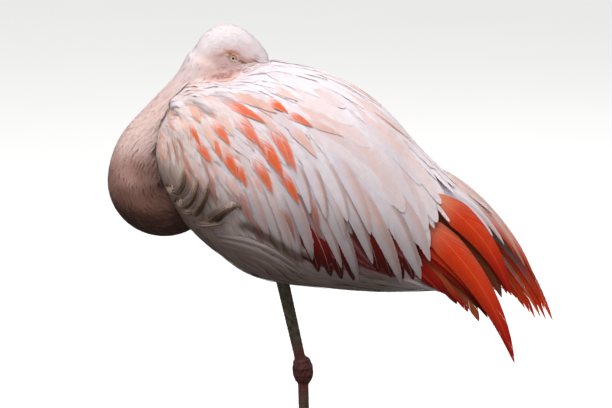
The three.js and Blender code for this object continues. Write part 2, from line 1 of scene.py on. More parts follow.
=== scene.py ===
# A Chilean flamingo asleep on one leg: skin, coat of feather vanes, plumes, bill, eyes and legs, built
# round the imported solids. Metres, +Z up; the breast faces -X, the tail +X, the bird's left side -Y.
import math
from collections import namedtuple

import bpy
import numpy as np
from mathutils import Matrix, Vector
from mathutils.bvhtree import BVHTree


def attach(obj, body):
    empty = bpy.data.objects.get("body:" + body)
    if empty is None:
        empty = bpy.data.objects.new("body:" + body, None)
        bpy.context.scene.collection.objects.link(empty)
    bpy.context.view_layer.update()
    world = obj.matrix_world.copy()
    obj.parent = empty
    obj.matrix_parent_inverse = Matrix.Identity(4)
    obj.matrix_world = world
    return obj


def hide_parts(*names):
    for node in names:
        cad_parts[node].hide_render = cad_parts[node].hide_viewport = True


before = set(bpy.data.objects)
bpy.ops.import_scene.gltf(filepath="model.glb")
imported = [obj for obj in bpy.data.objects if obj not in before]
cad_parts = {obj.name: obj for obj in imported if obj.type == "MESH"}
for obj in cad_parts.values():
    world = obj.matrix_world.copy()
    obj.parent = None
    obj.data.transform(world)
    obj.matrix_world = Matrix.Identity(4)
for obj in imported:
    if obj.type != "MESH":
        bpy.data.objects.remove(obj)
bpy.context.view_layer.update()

MM = 0.001
LEFT, RIGHT = 1, -1  # sign of the section angle: positive goes down the bird's left side
SIDES = ((LEFT, "left"), (RIGHT, "right"))

# ---------------------------------------------------------------- driving dimensions, in millimetres

# Plumage of the body: x, top, bottom, half width.
PLUMAGE = np.array([
    [-173, 508, 500, 46], [-170, 533, 476, 56], [-164, 547, 459, 64], [-150, 571, 430, 73],
    [-134, 584, 407, 81], [-105, 592, 382, 88], [-74, 598, 359, 93], [-40, 600, 347, 96],
    [5, 594, 341, 96], [48, 576, 337, 92], [88, 547, 335, 84], [122, 508, 335, 73],
    [160, 470, 336, 58], [214, 424, 330, 40],
], float)
SIDE_FULLNESS = 0.85
# The flesh leaves the plumage behind the hips and narrows to the vent, with the rump along its top.
VENT = np.array([
    [88, 543, 336, 66], [122, 505, 337, 58], [150, 478, 340, 44], [170, 452, 348, 28],
    [178, 438, 356, 16],
], float)
VENT_FROM, VENT_TO = 70, 118

# Neck, walked from the shoulders to the nape: turn in degrees and bend radius, or 0 and a length.
NECK_START = (-64, 498, 180)
NECK_WALK = [
    ([(0, 32), (90, 34)], (33, 30.5), (6, 6)),
    ([(-180, 34)], (30.5, 32), (6, -6)),
    ([(-42, 75), (0, 20)], (32, 29.5), (-6, -3)),
    ([(0, 42), (15, 100), (0, 21)], (29.5, 26), (-3, 2)),
    ([(10, 60)], (26, 15), (2, 2)),
]
# Head, facing back: x, top, bottom, half width; its middle lies a little to the right.
HEAD = np.array([
    [-129, 616, 588, 12], [-121, 631, 582, 18], [-110, 640, 579, 22], [-97, 645, 577, 25],
    [-84, 644, 578, 25], [-71, 638, 581, 22], [-59, 628, 584, 18], [-50, 617, 586, 14.5],
    [-45, 609, 589, 11],
], float)
HEAD_SIDE = 2
# Eye: its place, the ball's radius, how far out its middle lies, and the opening of its lids.
EYE = {"x": -85, "z": 609.6, "radius": 7.2, "from_middle": 17.5, "opening": 3.5}

# Bill: x, z, half depth, half width.
BILL_UPPER = np.array([
    [-52, 595, 7.5, 10], [-37, 585, 8, 10], [-20, 574, 7.5, 9], [-4, 556, 6.5, 8],
    [6, 533, 5.5, 7], [10, 510, 3.5, 5],
], float)
BILL_LOWER = np.array([
    [-60, 587, 6, 8], [-45, 576, 9, 10], [-31, 562, 11.5, 11], [-19, 545, 11, 10],
    [-9, 525, 8, 8], [-3, 509, 4, 5],
], float)

COAT_DEPTH = {"body": 1.7, "neck": 0.9, "head": 0.7}
NO_COAT = {"body": 0, "neck": 0, "head": 0}
LEAST_DEPTH = 0.45  # of the skin under the lay of the coat
SKIN_FOLDS = 0.8  # how far the skin follows the folds of the coat
SOCKET_DEPTH, SOCKET_REACH = 2.6, 6.5  # hollow round each eye
VOXEL_SKIN, VOXEL_LAY = 2.3, 2.6
NECK_STEP = 2.0  # between the neck's stations, at most
BODY_RINGS, BODY_SIDES, HEAD_RINGS, HEAD_SIDES, NECK_SIDES = 90, 96, 40, 48, 40

# Soft folds of the mantle over the neck: x, z, length, width, angle in degrees, height.
FOLDS = [
    (-129, 585, 17, 6, 28, 3.6), (-98, 577, 18, 8, -20, 6.0), (-120, 566, 17, 8, -28, 6.0),
    (-151, 560, 12, 8, -25, 4.5), (-148, 536, 10, 9, -40, 3.0), (-62, 577, 18, 7, -12, 2.4),
    (-94, 567, 16, 3.2, -18, -2.2), (-117, 555, 17, 3.2, -26, -2.2), (-148, 549, 13, 3.0, -25, -2.0),
    (-127, 577, 15, 2.8, 25, -1.6),
]
# The back gives way under the head, and rises over the bill: x, y, z, reach along each, height.
MOUNDS = np.array([
    [-96, -10, 592, 26, 34, 24, -10.0], [-42, -27, 596, 20, 13, 16, 6.0], [-42, 28, 596, 20, 13, 16, 4.0],
])
NAPE = np.array([-131, 2, 619, 9, 18, 8, 1.6])
NAPE_LENGTH = 16  # of the neck's end, whose coat is the head's
# The cheek's bare pink laps down over the mantle: x, height, reach each way; the height sinks to the sides.
CHEEK_LAP, LAP_SLOPE = (-97, 594, 21, 15), 0.21
CREASE, CREASE_WIDTH = 4.0, 3.0  # depth and half width of the crease between neck and breast


# ---------------------------------------------------------------- colours

def srgb(*values):
    """Linear colour of a colour as seen, 0 to 255."""
    c = np.asarray(values, float) / 255
    return np.where(c <= 0.04045, c / 12.92, ((c + 0.055) / 1.055) ** 2.4)


WHITE = srgb(250, 240, 246)
LILAC = srgb(222, 211, 224)
CREAM = srgb(242, 224, 219)
PINK = srgb(244, 212, 206)
BEIGE = srgb(210, 176, 154)
SALMON = srgb(240, 168, 132)
ORANGE = srgb(242, 100, 16)
RUST = srgb(196, 98, 54)
# Brown of the painted shadow between the wing's greater coverts
GAP_SHADOW_BROWN = srgb(160, 104, 80)
CORAL = srgb(232, 62, 14)
# Coral made lighter: painted light on plumes that lie in shade
LIT_CORAL = srgb(246, 96, 40)
RED = srgb(190, 26, 6)
DARK_RED = srgb(104, 10, 4)
BROWN = srgb(124, 66, 38)
BLACK = srgb(30, 26, 26)
CROWN = srgb(250, 238, 242)
CHEEK = srgb(247, 214, 209)
# Orange brown of the lore, also used for the painted shadow of the brow over the eye
BROW = srgb(208, 128, 94)
# Dark brown of the lore's line, also used for the painted shadow on the upper lids
DARK_BROW = srgb(150, 96, 70)
LORE_SKIN = srgb(240, 232, 226)
NECK_PALE = srgb(240, 210, 204)
NECK_MID = srgb(168, 120, 108)
# Nearly black brown of the painted shade under the neck's bulge
NECK_SHADE = srgb(74, 48, 38)
# Brown of the painted shade under the belly and in the hollow over the flank
SHADE_BROWN = srgb(112, 88, 64)
LOCK = srgb(202, 170, 144)
# Brown of the painted shade on the locks' lower strands and on the sheets under them
LOCK_PAINTED_SHADE = srgb(138, 106, 86)
PUPIL = srgb(14, 12, 12)
IRIS = srgb(232, 224, 190)
IRIS_EDGE = srgb(204, 188, 138)
EYE_RIM = srgb(120, 84, 60)
EYE_BACK = srgb(90, 60, 50)
LID_RIM = srgb(176, 130, 100)
LID = srgb(224, 190, 172)
LID_CORNER = srgb(84, 52, 40)
HORN_PALE = srgb(226, 212, 196)
HORN_PINK = srgb(222, 170, 150)
HORN_BLACK = srgb(20, 17, 16)
LEG_GREY = srgb(98, 88, 72)
LEG_OLIVE = srgb(84, 74, 52)
LEG_DARK = srgb(52, 44, 36)
LEG_ROSE = srgb(112, 54, 54)
FOOT_ROSE = srgb(158, 78, 76)
KNOB_RED = srgb(104, 52, 50)
KNOB_DARK = srgb(60, 32, 29)
CLAW_BROWN = srgb(58, 46, 38)
CLAW_BLACK = srgb(26, 22, 20)


def mix(a, b, share):
    share = np.asarray(share, float)[..., None]
    return a * (1 - share) + b * share


def step_between(low, high, x):
    f = np.clip((np.asarray(x, float) - low) / (high - low), 0, 1)
    return f * f * (3 - 2 * f)


def unit(v):
    return v / np.maximum(np.linalg.norm(v, axis=-1, keepdims=True), 1e-12)


def bell(*distances):
    """1 at the middle of a soft spot; the distances from it are in shares of its reach."""
    return np.exp(-sum(distance ** 2 for distance in distances))


def aligned(x, z, degrees):
    """Offsets in the side view as seen along and across a line at an angle."""
    turn = math.radians(degrees)
    return x * math.cos(turn) + z * math.sin(turn), -x * math.sin(turn) + z * math.cos(turn)


def circle(sides):
    """Angles spread evenly round a circle."""
    return np.linspace(0, 2 * math.pi, sides, endpoint=False)


# ---------------------------------------------------------------- shapes of the bird, in millimetres

def row_at(rows, x):
    """Rows of a station table at many x, smooth between its stations."""
    x = np.asarray(x, float)
    last = len(rows) - 1
    i = np.clip(np.searchsorted(rows[:, 0], x, side="right") - 1, 0, last - 1)
    a, b, c, d = rows[np.maximum(i - 1, 0)], rows[i], rows[i + 1], rows[np.minimum(i + 2, last)]
    run = (c - b)[..., :1]
    f = np.clip((x[..., None] - b[..., :1]) / run, 0, 1)
    into = (c - a) / (c - a)[..., :1]
    out = (d - b) / (d - b)[..., :1]
    return b + (c - b) * f * f * (3 - 2 * f) + run * f * (1 - f) * (into * (1 - f) - out * f)


def section_point(row, x, angle, fullness=1.0, side=0.0):
    """Point of a section at an angle from its top; positive angles go down the left side."""
    _, top, bottom, half = np.moveaxis(row, -1, 0)
    y = side - np.sign(np.sin(angle)) * half * np.abs(np.sin(angle)) ** fullness
    z = (top + bottom) / 2 + (top - bottom) / 2 * np.cos(angle)
    return np.stack(np.broadcast_arrays(x, y, z), -1)


def body_point(x, angle):
    return section_point(row_at(PLUMAGE, x), x, angle, SIDE_FULLNESS)


def body_angle(x, z, side):
    row = row_at(PLUMAGE, x)
    share = (z - (row[..., 1] + row[..., 2]) / 2) / ((row[..., 1] - row[..., 2]) / 2)
    return side * np.arccos(np.clip(share, -0.999, 0.999))


def turn_of(points):
    """How far down the side each point lies, in degrees from the ridge of the back."""
    return np.degrees(body_angle(points[..., 0], points[..., 2], 1))


def side_of(points):
    return np.where(points[:, 1] <= 0, LEFT, RIGHT)


def walk_neck():
    """Stations of the neck: x, y, z, heading, radius and distance gone."""
    x, z, heading = NECK_START
    gone = 0.0
    rows = []
    for walk, girth, side in NECK_WALK:
        size = sum(r if turn == 0 else abs(math.radians(turn)) * r for turn, r in walk)
        done = 0.0
        for turn, r in walk:
            distance = r if turn == 0 else abs(math.radians(turn)) * r
            count = math.ceil(distance / NECK_STEP)
            for _ in range(count):
                aim = math.radians(heading + turn / count / 2)
                x += distance / count * math.cos(aim)
                z += distance / count * math.sin(aim)
                heading += turn / count
                done += distance / count
                t = done / size
                rows.append([x, np.interp(t, (0, 1), side), z, math.radians(heading),
                             np.interp(t, (0, 1), girth), gone + done])
        gone += size
    return np.array(rows)


NECK = walk_neck()


def neck_ring(row, inset, sides):
    x, y, z, heading, radius, _ = row
    up = np.array([-math.sin(heading), 0, math.cos(heading)])
    around = circle(sides)[:, None]
    side = np.array([0, 1.0, 0])
    return np.array([x, y, z]) + (radius - inset) * (np.cos(around) * up + np.sin(around) * side)


def distance_to_neck(points):
    """Distance from the neck's surface and the nearest station of its path."""
    gap = np.linalg.norm(points[:, None, :] - NECK[None, :, :3], axis=-1) - NECK[None, :, 4]
    nearest = gap.argmin(1)
    return gap[np.arange(len(points)), nearest], nearest


def distance_to_sections(rows, points, side=0.0):
    """Rough distance from the surface of a body of upright sections."""
    row = row_at(rows, points[:, 0])
    high = (row[:, 1] - row[:, 2]) / 2
    up = (points[:, 2] - (row[:, 1] + row[:, 2]) / 2) / high
    out = (points[:, 1] - side) / row[:, 3]
    size = np.minimum(high, row[:, 3])
    past = np.maximum(rows[0, 0] - points[:, 0], points[:, 0] - rows[-1, 0])
    return np.maximum((np.hypot(up, out) - 1) * size, past)


# ---------------------------------------------------------------- meshes

def linked(name, data):
    thing = bpy.data.objects.new(name, data)
    bpy.context.scene.collection.objects.link(thing)
    return thing


def shade_smooth(mesh):
    mesh.polygons.foreach_set("use_smooth", np.ones(len(mesh.polygons), bool))


def mesh_object(name, verts, faces, smooth=True):
    """Object from arrays of points in millimetres and of faces with equal corner counts."""
    mesh = bpy.data.meshes.new(name)
    faces = np.asarray(faces, np.int32)
    count, corners = faces.shape
    mesh.vertices.add(len(verts))
    mesh.vertices.foreach_set("co", (np.asarray(verts, float) * MM).astype(np.float32).ravel())
    mesh.loops.add(count * corners)
    mesh.loops.foreach_set("vertex_index", faces.ravel())
    mesh.polygons.add(count)
    mesh.polygons.foreach_set("loop_start", np.arange(0, count * corners, corners, dtype=np.int32))
    mesh.polygons.foreach_set("use_smooth", np.full(count, smooth))
    mesh.update(calc_edges=True)
    return linked(name, mesh)


def vertex_values(mesh, name):
    values = np.empty(len(mesh.vertices) * 3, np.float32)
    mesh.vertices.foreach_get(name, values)
    return values.reshape(-1, 3).astype(float)


def points_of(mesh):
    return vertex_values(mesh, "co") / MM


def normals_of(mesh):
    return vertex_values(mesh, "normal")


def put_points(mesh, points):
    mesh.vertices.foreach_set("co", (points * MM).astype(np.float32).ravel())
    mesh.update()


def paint(piece, colours):
    """Gives a piece its colours, one for each vertex."""
    layer = piece.data.attributes.new("Tint", "FLOAT_COLOR", "POINT")
    rgba = np.ones((len(colours), 4), np.float32)
    rgba[:, :3] = colours
    layer.data.foreach_set("color", rgba.ravel())


def corners_of(mesh):
    """Number of the vertex at each corner of the faces."""
    index = np.empty(len(mesh.loops), np.int32)
    mesh.loops.foreach_get("vertex_index", index)
    return index


def corner_map(piece, name, places):
    """UV map from one place for each vertex."""
    layer = piece.data.uv_layers.new(name=name)
    layer.data.foreach_set("uv", np.asarray(places, np.float32)[corners_of(piece.data)].ravel())


def dress(piece, colours, material):
    """Paints a piece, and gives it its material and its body."""
    paint(piece, colours)
    piece.data.materials.append(material)
    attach(piece, "root")


def ring_quads(count, sides):
    """Quads between rings of points, given one ring after another."""
    r, s = np.meshgrid(np.arange(count - 1), np.arange(sides), indexing="ij")
    a, b = r * sides + s, r * sides + (s + 1) % sides
    return np.stack([a, b, b + sides, a + sides], -1).reshape(-1, 4)


def tube_mesh(name, rings):
    """Closed tube through rings of points, with a fan over each end."""
    rings = np.asarray(rings)
    count, sides, _ = rings.shape
    verts = np.vstack([rings.reshape(-1, 3), rings[0].mean(0), rings[-1].mean(0)])
    s = np.arange(sides)
    after = (s + 1) % sides
    last, middle = (count - 1) * sides, np.full(sides, count * sides)
    faces = [ring_quads(count, sides), np.stack([middle, after, s], -1),
             np.stack([middle + 1, last + s, last + after], -1)]
    mesh = bpy.data.meshes.new(name)
    mesh.from_pydata((verts * MM).tolist(), [], [face for group in faces for face in group.tolist()])
    return linked(name, mesh)


def delete(piece):
    mesh = piece.data
    bpy.data.objects.remove(piece)
    bpy.data.meshes.remove(mesh)


def joined(name, pieces):
    """One object holding the meshes of several, which it replaces."""
    mesh = bpy.data.meshes.new(name)
    verts, faces = [], []
    for piece in pieces:
        start = len(verts)
        verts += [tuple(v.co) for v in piece.data.vertices]
        faces += [[start + i for i in p.vertices] for p in piece.data.polygons]
        delete(piece)
    mesh.from_pydata(verts, [], faces)
    return linked(name, mesh)


def remeshed(piece, voxel, smoothing):
    """Turns a piece of closed shells into one even skin."""
    remesh = piece.modifiers.new("Remesh", "REMESH")
    remesh.mode = "VOXEL"
    remesh.voxel_size = voxel * MM
    smooth = piece.modifiers.new("Smooth", "SMOOTH")
    smooth.factor = 0.5
    smooth.iterations = smoothing
    bpy.context.view_layer.update()
    shown = piece.evaluated_get(bpy.context.evaluated_depsgraph_get())
    mesh = bpy.data.meshes.new_from_object(shown)
    old = piece.data
    piece.modifiers.clear()
    piece.data = mesh
    mesh.name = piece.name
    bpy.data.meshes.remove(old)
    shade_smooth(mesh)
    return piece


# ---------------------------------------------------------------- the surface that the coat lies on

def crease(points):
    """Nearness to the line where the neck meets the front of the body, 0 to 1."""
    to_neck, _ = distance_to_neck(points)
    away = np.maximum(np.abs(to_neck), np.abs(distance_to_sections(PLUMAGE, points)))
    front = step_between(-70, -95, points[:, 0]) * step_between(568, 535, points[:, 2])
    return bell(away / CREASE_WIDTH) * front


def in_fold(points, fold):
    """Places along and across a fold, in shares of its length and width."""
    x, z, length, width, angle, _ = fold
    along, across = aligned(points[:, 0] - x, points[:, 2] - z, angle)
    return along / length, across / width


def mound(points, row):
    return row[6] * bell(*((points - row[:3]) / row[3:6]).T)


def fold_height(points):
    """How far the mantle stands up, or gives way under the head, at each point."""
    high = np.zeros(len(points))
    for fold in FOLDS:
        along, across = in_fold(points, fold)
        high += fold[-1] * np.exp(-(along ** 2) ** 1.5 - across ** 2)
    for row in MOUNDS:
        high += mound(points, row)
    to_neck, _ = distance_to_neck(points)
    on_head = distance_to_sections(HEAD, points, HEAD_SIDE) < 2
    high = high * ((to_neck > 1.5) & ~on_head) + mound(points, NAPE)
    return high - CREASE * crease(points)


def inset_row(rows, x, inset):
    row = row_at(rows, x)
    row[1:] -= [inset, -inset, inset]
    return row


def body_rings(inset, to_vent):
    """Rings of the body; with to_vent they follow the flesh behind the hips."""
    end = VENT[-1, 0] if to_vent else PLUMAGE[-1, 0]
    t = np.linspace(0, 1, BODY_RINGS)
    run = end - PLUMAGE[0, 0] - inset
    stations = PLUMAGE[0, 0] + inset + run * (0.5 * t + 0.25 - 0.25 * np.cos(math.pi * t))
    rings = []
    for x in stations:
        row = inset_row(PLUMAGE, x, inset)
        if to_vent:
            share = step_between(VENT_FROM, VENT_TO, x)
            row = row * (1 - share) + row_at(VENT, x) * share
        if row[1] - row[2] < 2:
            row[1:3] = (row[1] + row[2]) / 2 + np.array([1, -1])
        rings.append(section_point(row, x, circle(BODY_SIDES), SIDE_FULLNESS))
    return rings


def flesh(name, insets, voxel, smoothing, to_vent):
    """One skin over the body, the neck and the head, each so far inside its plumage."""
    stations = np.linspace(HEAD[0, 0] + insets["head"], HEAD[-1, 0] - insets["head"], HEAD_RINGS)
    head_rings = [section_point(inset_row(HEAD, x, insets["head"]), x, circle(HEAD_SIDES), side=HEAD_SIDE)
                  for x in stations]
    shells = [
        tube_mesh("body", body_rings(insets["body"], to_vent)),
        tube_mesh("neck", [neck_ring(row, insets["neck"], NECK_SIDES) for row in NECK]),
        tube_mesh("head", head_rings),
    ]
    return remeshed(joined(name, shells), voxel, smoothing)


SPARE_SPOTS = 6  # drawn for each that there is room for


class Lay:
    """The outer surface that the vanes lie along, with a quick search for the nearest point."""

    def __init__(self):
        piece = flesh("lay", NO_COAT, VOXEL_LAY, smoothing=4, to_vent=False)
        points, normals = points_of(piece.data), normals_of(piece.data)
        points += normals * fold_height(points)[:, None]
        put_points(piece.data, points)
        piece.data.calc_loop_triangles()
        tris = np.empty(len(piece.data.loop_triangles) * 3, np.int32)
        piece.data.loop_triangles.foreach_get("vertices", tris)
        self.points, self.tris = points, tris.reshape(-1, 3)
        self.normals = normals_of(piece.data)
        self.tree = BVHTree.FromPolygons(points.tolist(), self.tris.tolist())
        delete(piece)

    def nearest(self, points):
        """Nearest points on the surface, with its smooth direction out."""
        faces = np.empty(len(points), int)
        found = np.empty_like(points)
        for i, p in enumerate(points.tolist()):
            found[i], _, faces[i], _ = self.tree.find_nearest(p)
        corners = self.tris[faces]
        weight = 1 / (np.linalg.norm(self.points[corners] - found[:, None], axis=2) + 0.3)
        return found, unit((weight[..., None] * self.normals[corners]).sum(1))

    def drawn(self, per_area, keep, draw):
        """Random spots with the ways out there, so many to each patch of a given area."""
        corners = self.points[self.tris]
        wanted = keep(corners.mean(1))
        corners, tris = corners[wanted], self.tris[wanted]
        sides = corners[:, 1:] - corners[:, :1]
        size = np.linalg.norm(np.cross(sides[:, 0], sides[:, 1]), axis=1) / 2
        share = size / per_area(corners.mean(1))
        pick = draw.choice(len(size), int(share.sum() * SPARE_SPOTS), p=share / share.sum())
        u = draw.random((len(pick), 2, 1))
        u = np.where(u.sum(1, keepdims=True) > 1, 1 - u, u)
        return corners[pick, 0] + (u * sides[pick]).sum(1), unit(self.normals[tris[pick]].mean(1))

    def scatter(self, spacing, keep, seed):
        """Roots spread evenly, a given spacing apart, where keep says so."""
        spots, _ = self.drawn(lambda p: spacing(p) ** 2, keep, np.random.default_rng(seed))
        apart = spacing(spots)
        cell = apart.max()
        grid, kept = {}, []
        keys = np.floor(spots / cell).astype(int).tolist()
        around = [(i, j, k) for i in (-1, 0, 1) for j in (-1, 0, 1) for k in (-1, 0, 1)]
        rows = zip(keys, spots.tolist(), (apart ** 2).tolist())
        for i, ((a, b, c), (x, y, z), near) in enumerate(rows):
            if any((x - p) ** 2 + (y - q) ** 2 + (z - r) ** 2 < near for da, db, dc in around
                   for p, q, r in grid.get((a + da, b + db, c + dc), ())):
                continue
            grid.setdefault((a, b, c), []).append((x, y, z))
            kept.append(i)
        return spots[kept]

    def scatter_along(self, wide, long, keep, lie, seed):
        """Roots a given distance apart across the lie of the coat and another along it."""
        spots, out = self.drawn(lambda p: wide(p) * long(p), keep, np.random.default_rng(seed))
        way = lie(spots, out)
        across, along = wide(spots)[:, None], long(spots)[:, None]
        measure = np.stack([way / along, np.cross(out, way) / across, out / across], 1)
        kept = np.empty_like(spots)
        count = 0
        for p, m in zip(spots, measure):
            if count and (((kept[:count] - p) @ m.T) ** 2).sum(1).min() < 1:
                continue
            kept[count] = p
            count += 1
        return kept[:count]


def lie_on_body(points, normals):
    """The way the body's plumage lies: back along the bird, and down over its sides."""
    x, side = points[:, 0], side_of(points)
    angle = body_angle(x, points[:, 2], side)
    along = unit(body_point(x + 1, angle) - body_point(x - 1, angle))
    around = unit(body_point(x, angle + 0.02 * side) - body_point(x, angle - 0.02 * side))
    turn = turn_of(points)
    front = step_between(-95, -170, x)
    calm = 1 - 0.8 * step_between(108, 150, turn)
    slant = np.radians((56 + 22 * front) * np.sin(np.radians(turn)) * calm)
    way = np.cos(slant)[:, None] * along + np.sin(slant)[:, None] * around
    return flatten(way, normals)


def down_neck(points):
    """The way down the neck at its station nearest to each point."""
    _, nearest = distance_to_neck(points)
    heading = NECK[nearest, 3]
    return -np.stack([np.cos(heading), np.zeros_like(heading), np.sin(heading)], -1)


def lie_on_neck(points, normals):
    return flatten(down_neck(points), normals)


def lie_on_head(points, normals):
    """From the bill's base back over the crown and cheeks, turning down into the neck."""
    base = np.array([HEAD[-1, 0] + 6, HEAD_SIDE, 596.0])
    behind = step_between(-92, -124, points[:, 0])[:, None]
    return flatten(unit(points - base) * (1 - behind) + down_neck(points) * behind, normals)


def flatten(way, normals):
    return unit(way - np.sum(way * normals, -1, keepdims=True) * normals)


def turned(way, normals, angle):
    """Directions turned about the way out."""
    side = np.cross(normals, way)
    return way * np.cos(angle)[:, None] + side * np.sin(angle)[:, None]


def walked(lay, roots, lie, length, count, swing, lift):
    """Centre lines that run along the surface: points and ways out, count + 1 for each root."""
    here, out = lay.nearest(roots)
    lines, outs = [], []
    for k in range(count + 1):
        lines.append(here + out * lift(k / count)[:, None])
        outs.append(out)
        if k < count:
            way = turned(lie(here, out), out, swing * (1 - 0.5 * k / count))
            here, out = lay.nearest(here + way * (length / count)[:, None])
            out = unit(out + 0.5 * outs[-1])
    return np.stack(lines, 1), np.stack(outs, 1)


# ---------------------------------------------------------------- vanes

def per_vane(values, t):
    """Values of each vane, shaped for use with the places t along it."""
    return values.reshape((len(values),) + (1,) * (t.ndim - 1) + values.shape[1:])


def along_line(values, t):
    """Values of each feather's line at many places t, from 0 at the root to 1 at the tip."""
    count = values.shape[1] - 1
    s = np.clip(t, 0, 1) * count
    i = np.minimum(s.astype(int), count - 1)
    f = (s - i)[..., None]
    rows = per_vane(np.arange(len(values)), t)
    return values[rows, i] * (1 - f) + values[rows, i + 1] * f


# Barbs on each side, joints along a barb, share of the length that a barb sweeps forward, how blunt
# the tip is and how it tapers, how far the edges bend down, ridge between barbs in mm, fray of the
# edge, unevenness of the barbs' height in mm; then the quill's half width in mm, how much of its own
# tone it shows, and that tone.
Plan = namedtuple("Plan", "barbs rungs sweep blunt taper camber ridge fray rough quill pale shaft",
                  defaults=(0, 0, WHITE))
PLANS = {
    "tiny": Plan(4, 1, 0.35, 2.2, 0.7, 0.1, 0.02, 0.1, 0.04),
    "short": Plan(22, 2, 0.3, 2.6, 0.7, 0.04, 0.05, 0.2, 0.08),
    "soft": Plan(36, 2, 0.26, 2.8, 0.7, 0.04, 0.05, 0.18, 0.08),
    "flush": Plan(56, 3, 0.3, 3.2, 1.0, 0.04, 0.05, 0.14, 0.08),
    "long": Plan(110, 3, 0.2, 3.2, 0.68, 0.05, 0.05, 0.08, 0.06, 0.5, 0.7),
    "broad": Plan(120, 3, 0.18, 4.4, 0.58, 0.04, 0.04, 0.07, 0.05, 0.5, 0.7),
    "plume": Plan(130, 3, 0.2, 1.9, 0.8, 0.16, 0.06, 0.02, 0.08, 0.4, 0.4, SALMON),
    "paddle": Plan(100, 3, 0.22, 3.4, 0.7, 0.16, 0.06, 0.05, 0.08, 0.35, 0.3, SALMON),
    "strand": Plan(100, 2, 0.16, 2.6, 0.8, 0.2, 0.05, 0.08, 0.08, 0.25, 0.3, SALMON),
    "silk": Plan(60, 2, 0.32, 2.0, 0.8, 0.05, 0.05, 0.18, 0.1),
    "lock": Plan(30, 1, 0.25, 1.6, 0.8, 0.3, 0.04, 0.12, 0.04),
    "wisp": Plan(26, 1, 0.3, 1.4, 0.9, 0.1, 0.1, 0.5, 0.3),
}
ROOT_WIDTH = 0.4
BARB_LAP = 1.15  # breadth of a barb as a share of its place, so that it lies a little over the next
QUILL_END, QUILL_JOINTS = 0.94, 16  # how far along the vane its quill goes
EDGE_SHARE, MOST_RISE, MOST_DROP = 0.85, 0.12, 0.8  # as shares of a vane's half width
DARKEST, LIGHTEST = 0.002, 0.93  # limits of the coat's painted colours
TUFT_PATCH = 0.0015  # half the size of a small tuft's place on the map


def outline(t, plan):
    """Half width of a vane at t, as a share of its greatest."""
    rise = np.minimum(1, ROOT_WIDTH + 2.0 * t)
    return rise * np.clip(1 - t ** plan.blunt, 0, 1) ** plan.taper


def edge_drop(lay, lines, outs, half):
    """How far the surface falls away under both edges of each vane, all along its line."""
    sides = unit(np.cross(outs, unit(np.gradient(lines, axis=1))))
    drops = []
    for offset in (0, -1, 1):
        places = (lines + offset * EDGE_SHARE * half[:, None, None] * sides).reshape(-1, 3)
        found, _ = lay.nearest(places)
        drops.append(np.sum((places - found) * outs.reshape(-1, 3), -1).reshape(lines.shape[:2]))
    fall = np.clip(np.stack(drops[1:]) - drops[0], -MOST_RISE * half[:, None], MOST_DROP * half[:, None])
    fall[..., 1:-1] = (fall[..., :-2] + 2 * fall[..., 1:-1] + fall[..., 2:]) / 4
    return fall


def vane_points(lines, outs, half, plan, seed, drop):
    """Vertices of the barbs of many vanes, with their place t along and b across, and each barb's luck."""
    draw = np.random.default_rng(seed)
    count, barbs, rungs = len(lines), plan.barbs, plan.rungs
    tangents = unit(np.gradient(lines, axis=1))
    sides = unit(np.cross(outs, tangents))
    shape = (count, 2, barbs, 2, rungs + 1)
    luck_shape = (count, 2, barbs, 1, 1)
    start = np.minimum(np.arange(barbs)[:, None] + BARB_LAP * np.arange(2), barbs) / barbs
    root = start[None, None, :, :, None]
    sweep = plan.sweep * (1 - root ** 3)
    slack = draw.random(luck_shape)
    split = (draw.random(luck_shape) < plan.fray) * draw.random(luck_shape)
    edge = np.arange(2)[None, None, None, :, None]
    reach = np.clip(root + sweep - split * edge * 0.8 / barbs, 0, 1)
    b = np.broadcast_to(np.arange(rungs + 1) / rungs, shape).copy()
    b[..., -1] -= (plan.fray * slack * (0.4 + 0.6 * reach))[..., 0]
    t = np.broadcast_to(root + (reach - root) * b ** 1.2, shape)
    widest = half[:, None, None, None, None]
    width = widest * outline(reach, plan)
    sign = np.array([-1.0, 1.0])[None, :, None, None, None]
    across = np.broadcast_to(sign * width * b, shape)
    wave = plan.ridge * np.sin(draw.random((count, 2, 1, 1, 1)) * 6.3 + root * 9) * b * 1.5
    fine = (1 - root) ** 0.7
    high = -plan.camber * widest * (b * width / widest) ** 2
    high = high + fine * (plan.ridge * (edge - 0.5) + plan.rough * (slack - 0.5) * b) + wave
    if drop is not None:
        fall = np.stack([along_line(drop[k][..., None], t[:, k])[..., 0] for k in (0, 1)], 1)
        high = high - fall * (b * width / widest / EDGE_SHARE) ** 2
    middle, out, side = (along_line(v, t) for v in (lines, outs, sides))
    places = middle + side * across[..., None] + out * np.broadcast_to(high, shape)[..., None]
    return places, t, np.broadcast_to(b * sign, shape), np.broadcast_to(slack, shape)


def quill_points(lines, outs, plan):
    """Vertices of the quills: three along each section, the middle one raised."""
    t = np.broadcast_to(np.linspace(0, QUILL_END, QUILL_JOINTS + 1), (len(lines), QUILL_JOINTS + 1))
    tangents = unit(np.gradient(lines, axis=1))
    middle, out, side = (along_line(v, t) for v in (lines, outs, unit(np.cross(outs, tangents))))
    half = plan.quill * (1.1 - t)[..., None]
    return np.stack([
        middle - side * half + out * 0.05,
        middle + out * (half * 0.8 + plan.ridge),
        middle + side * half + out * 0.05,
    ], 2), t


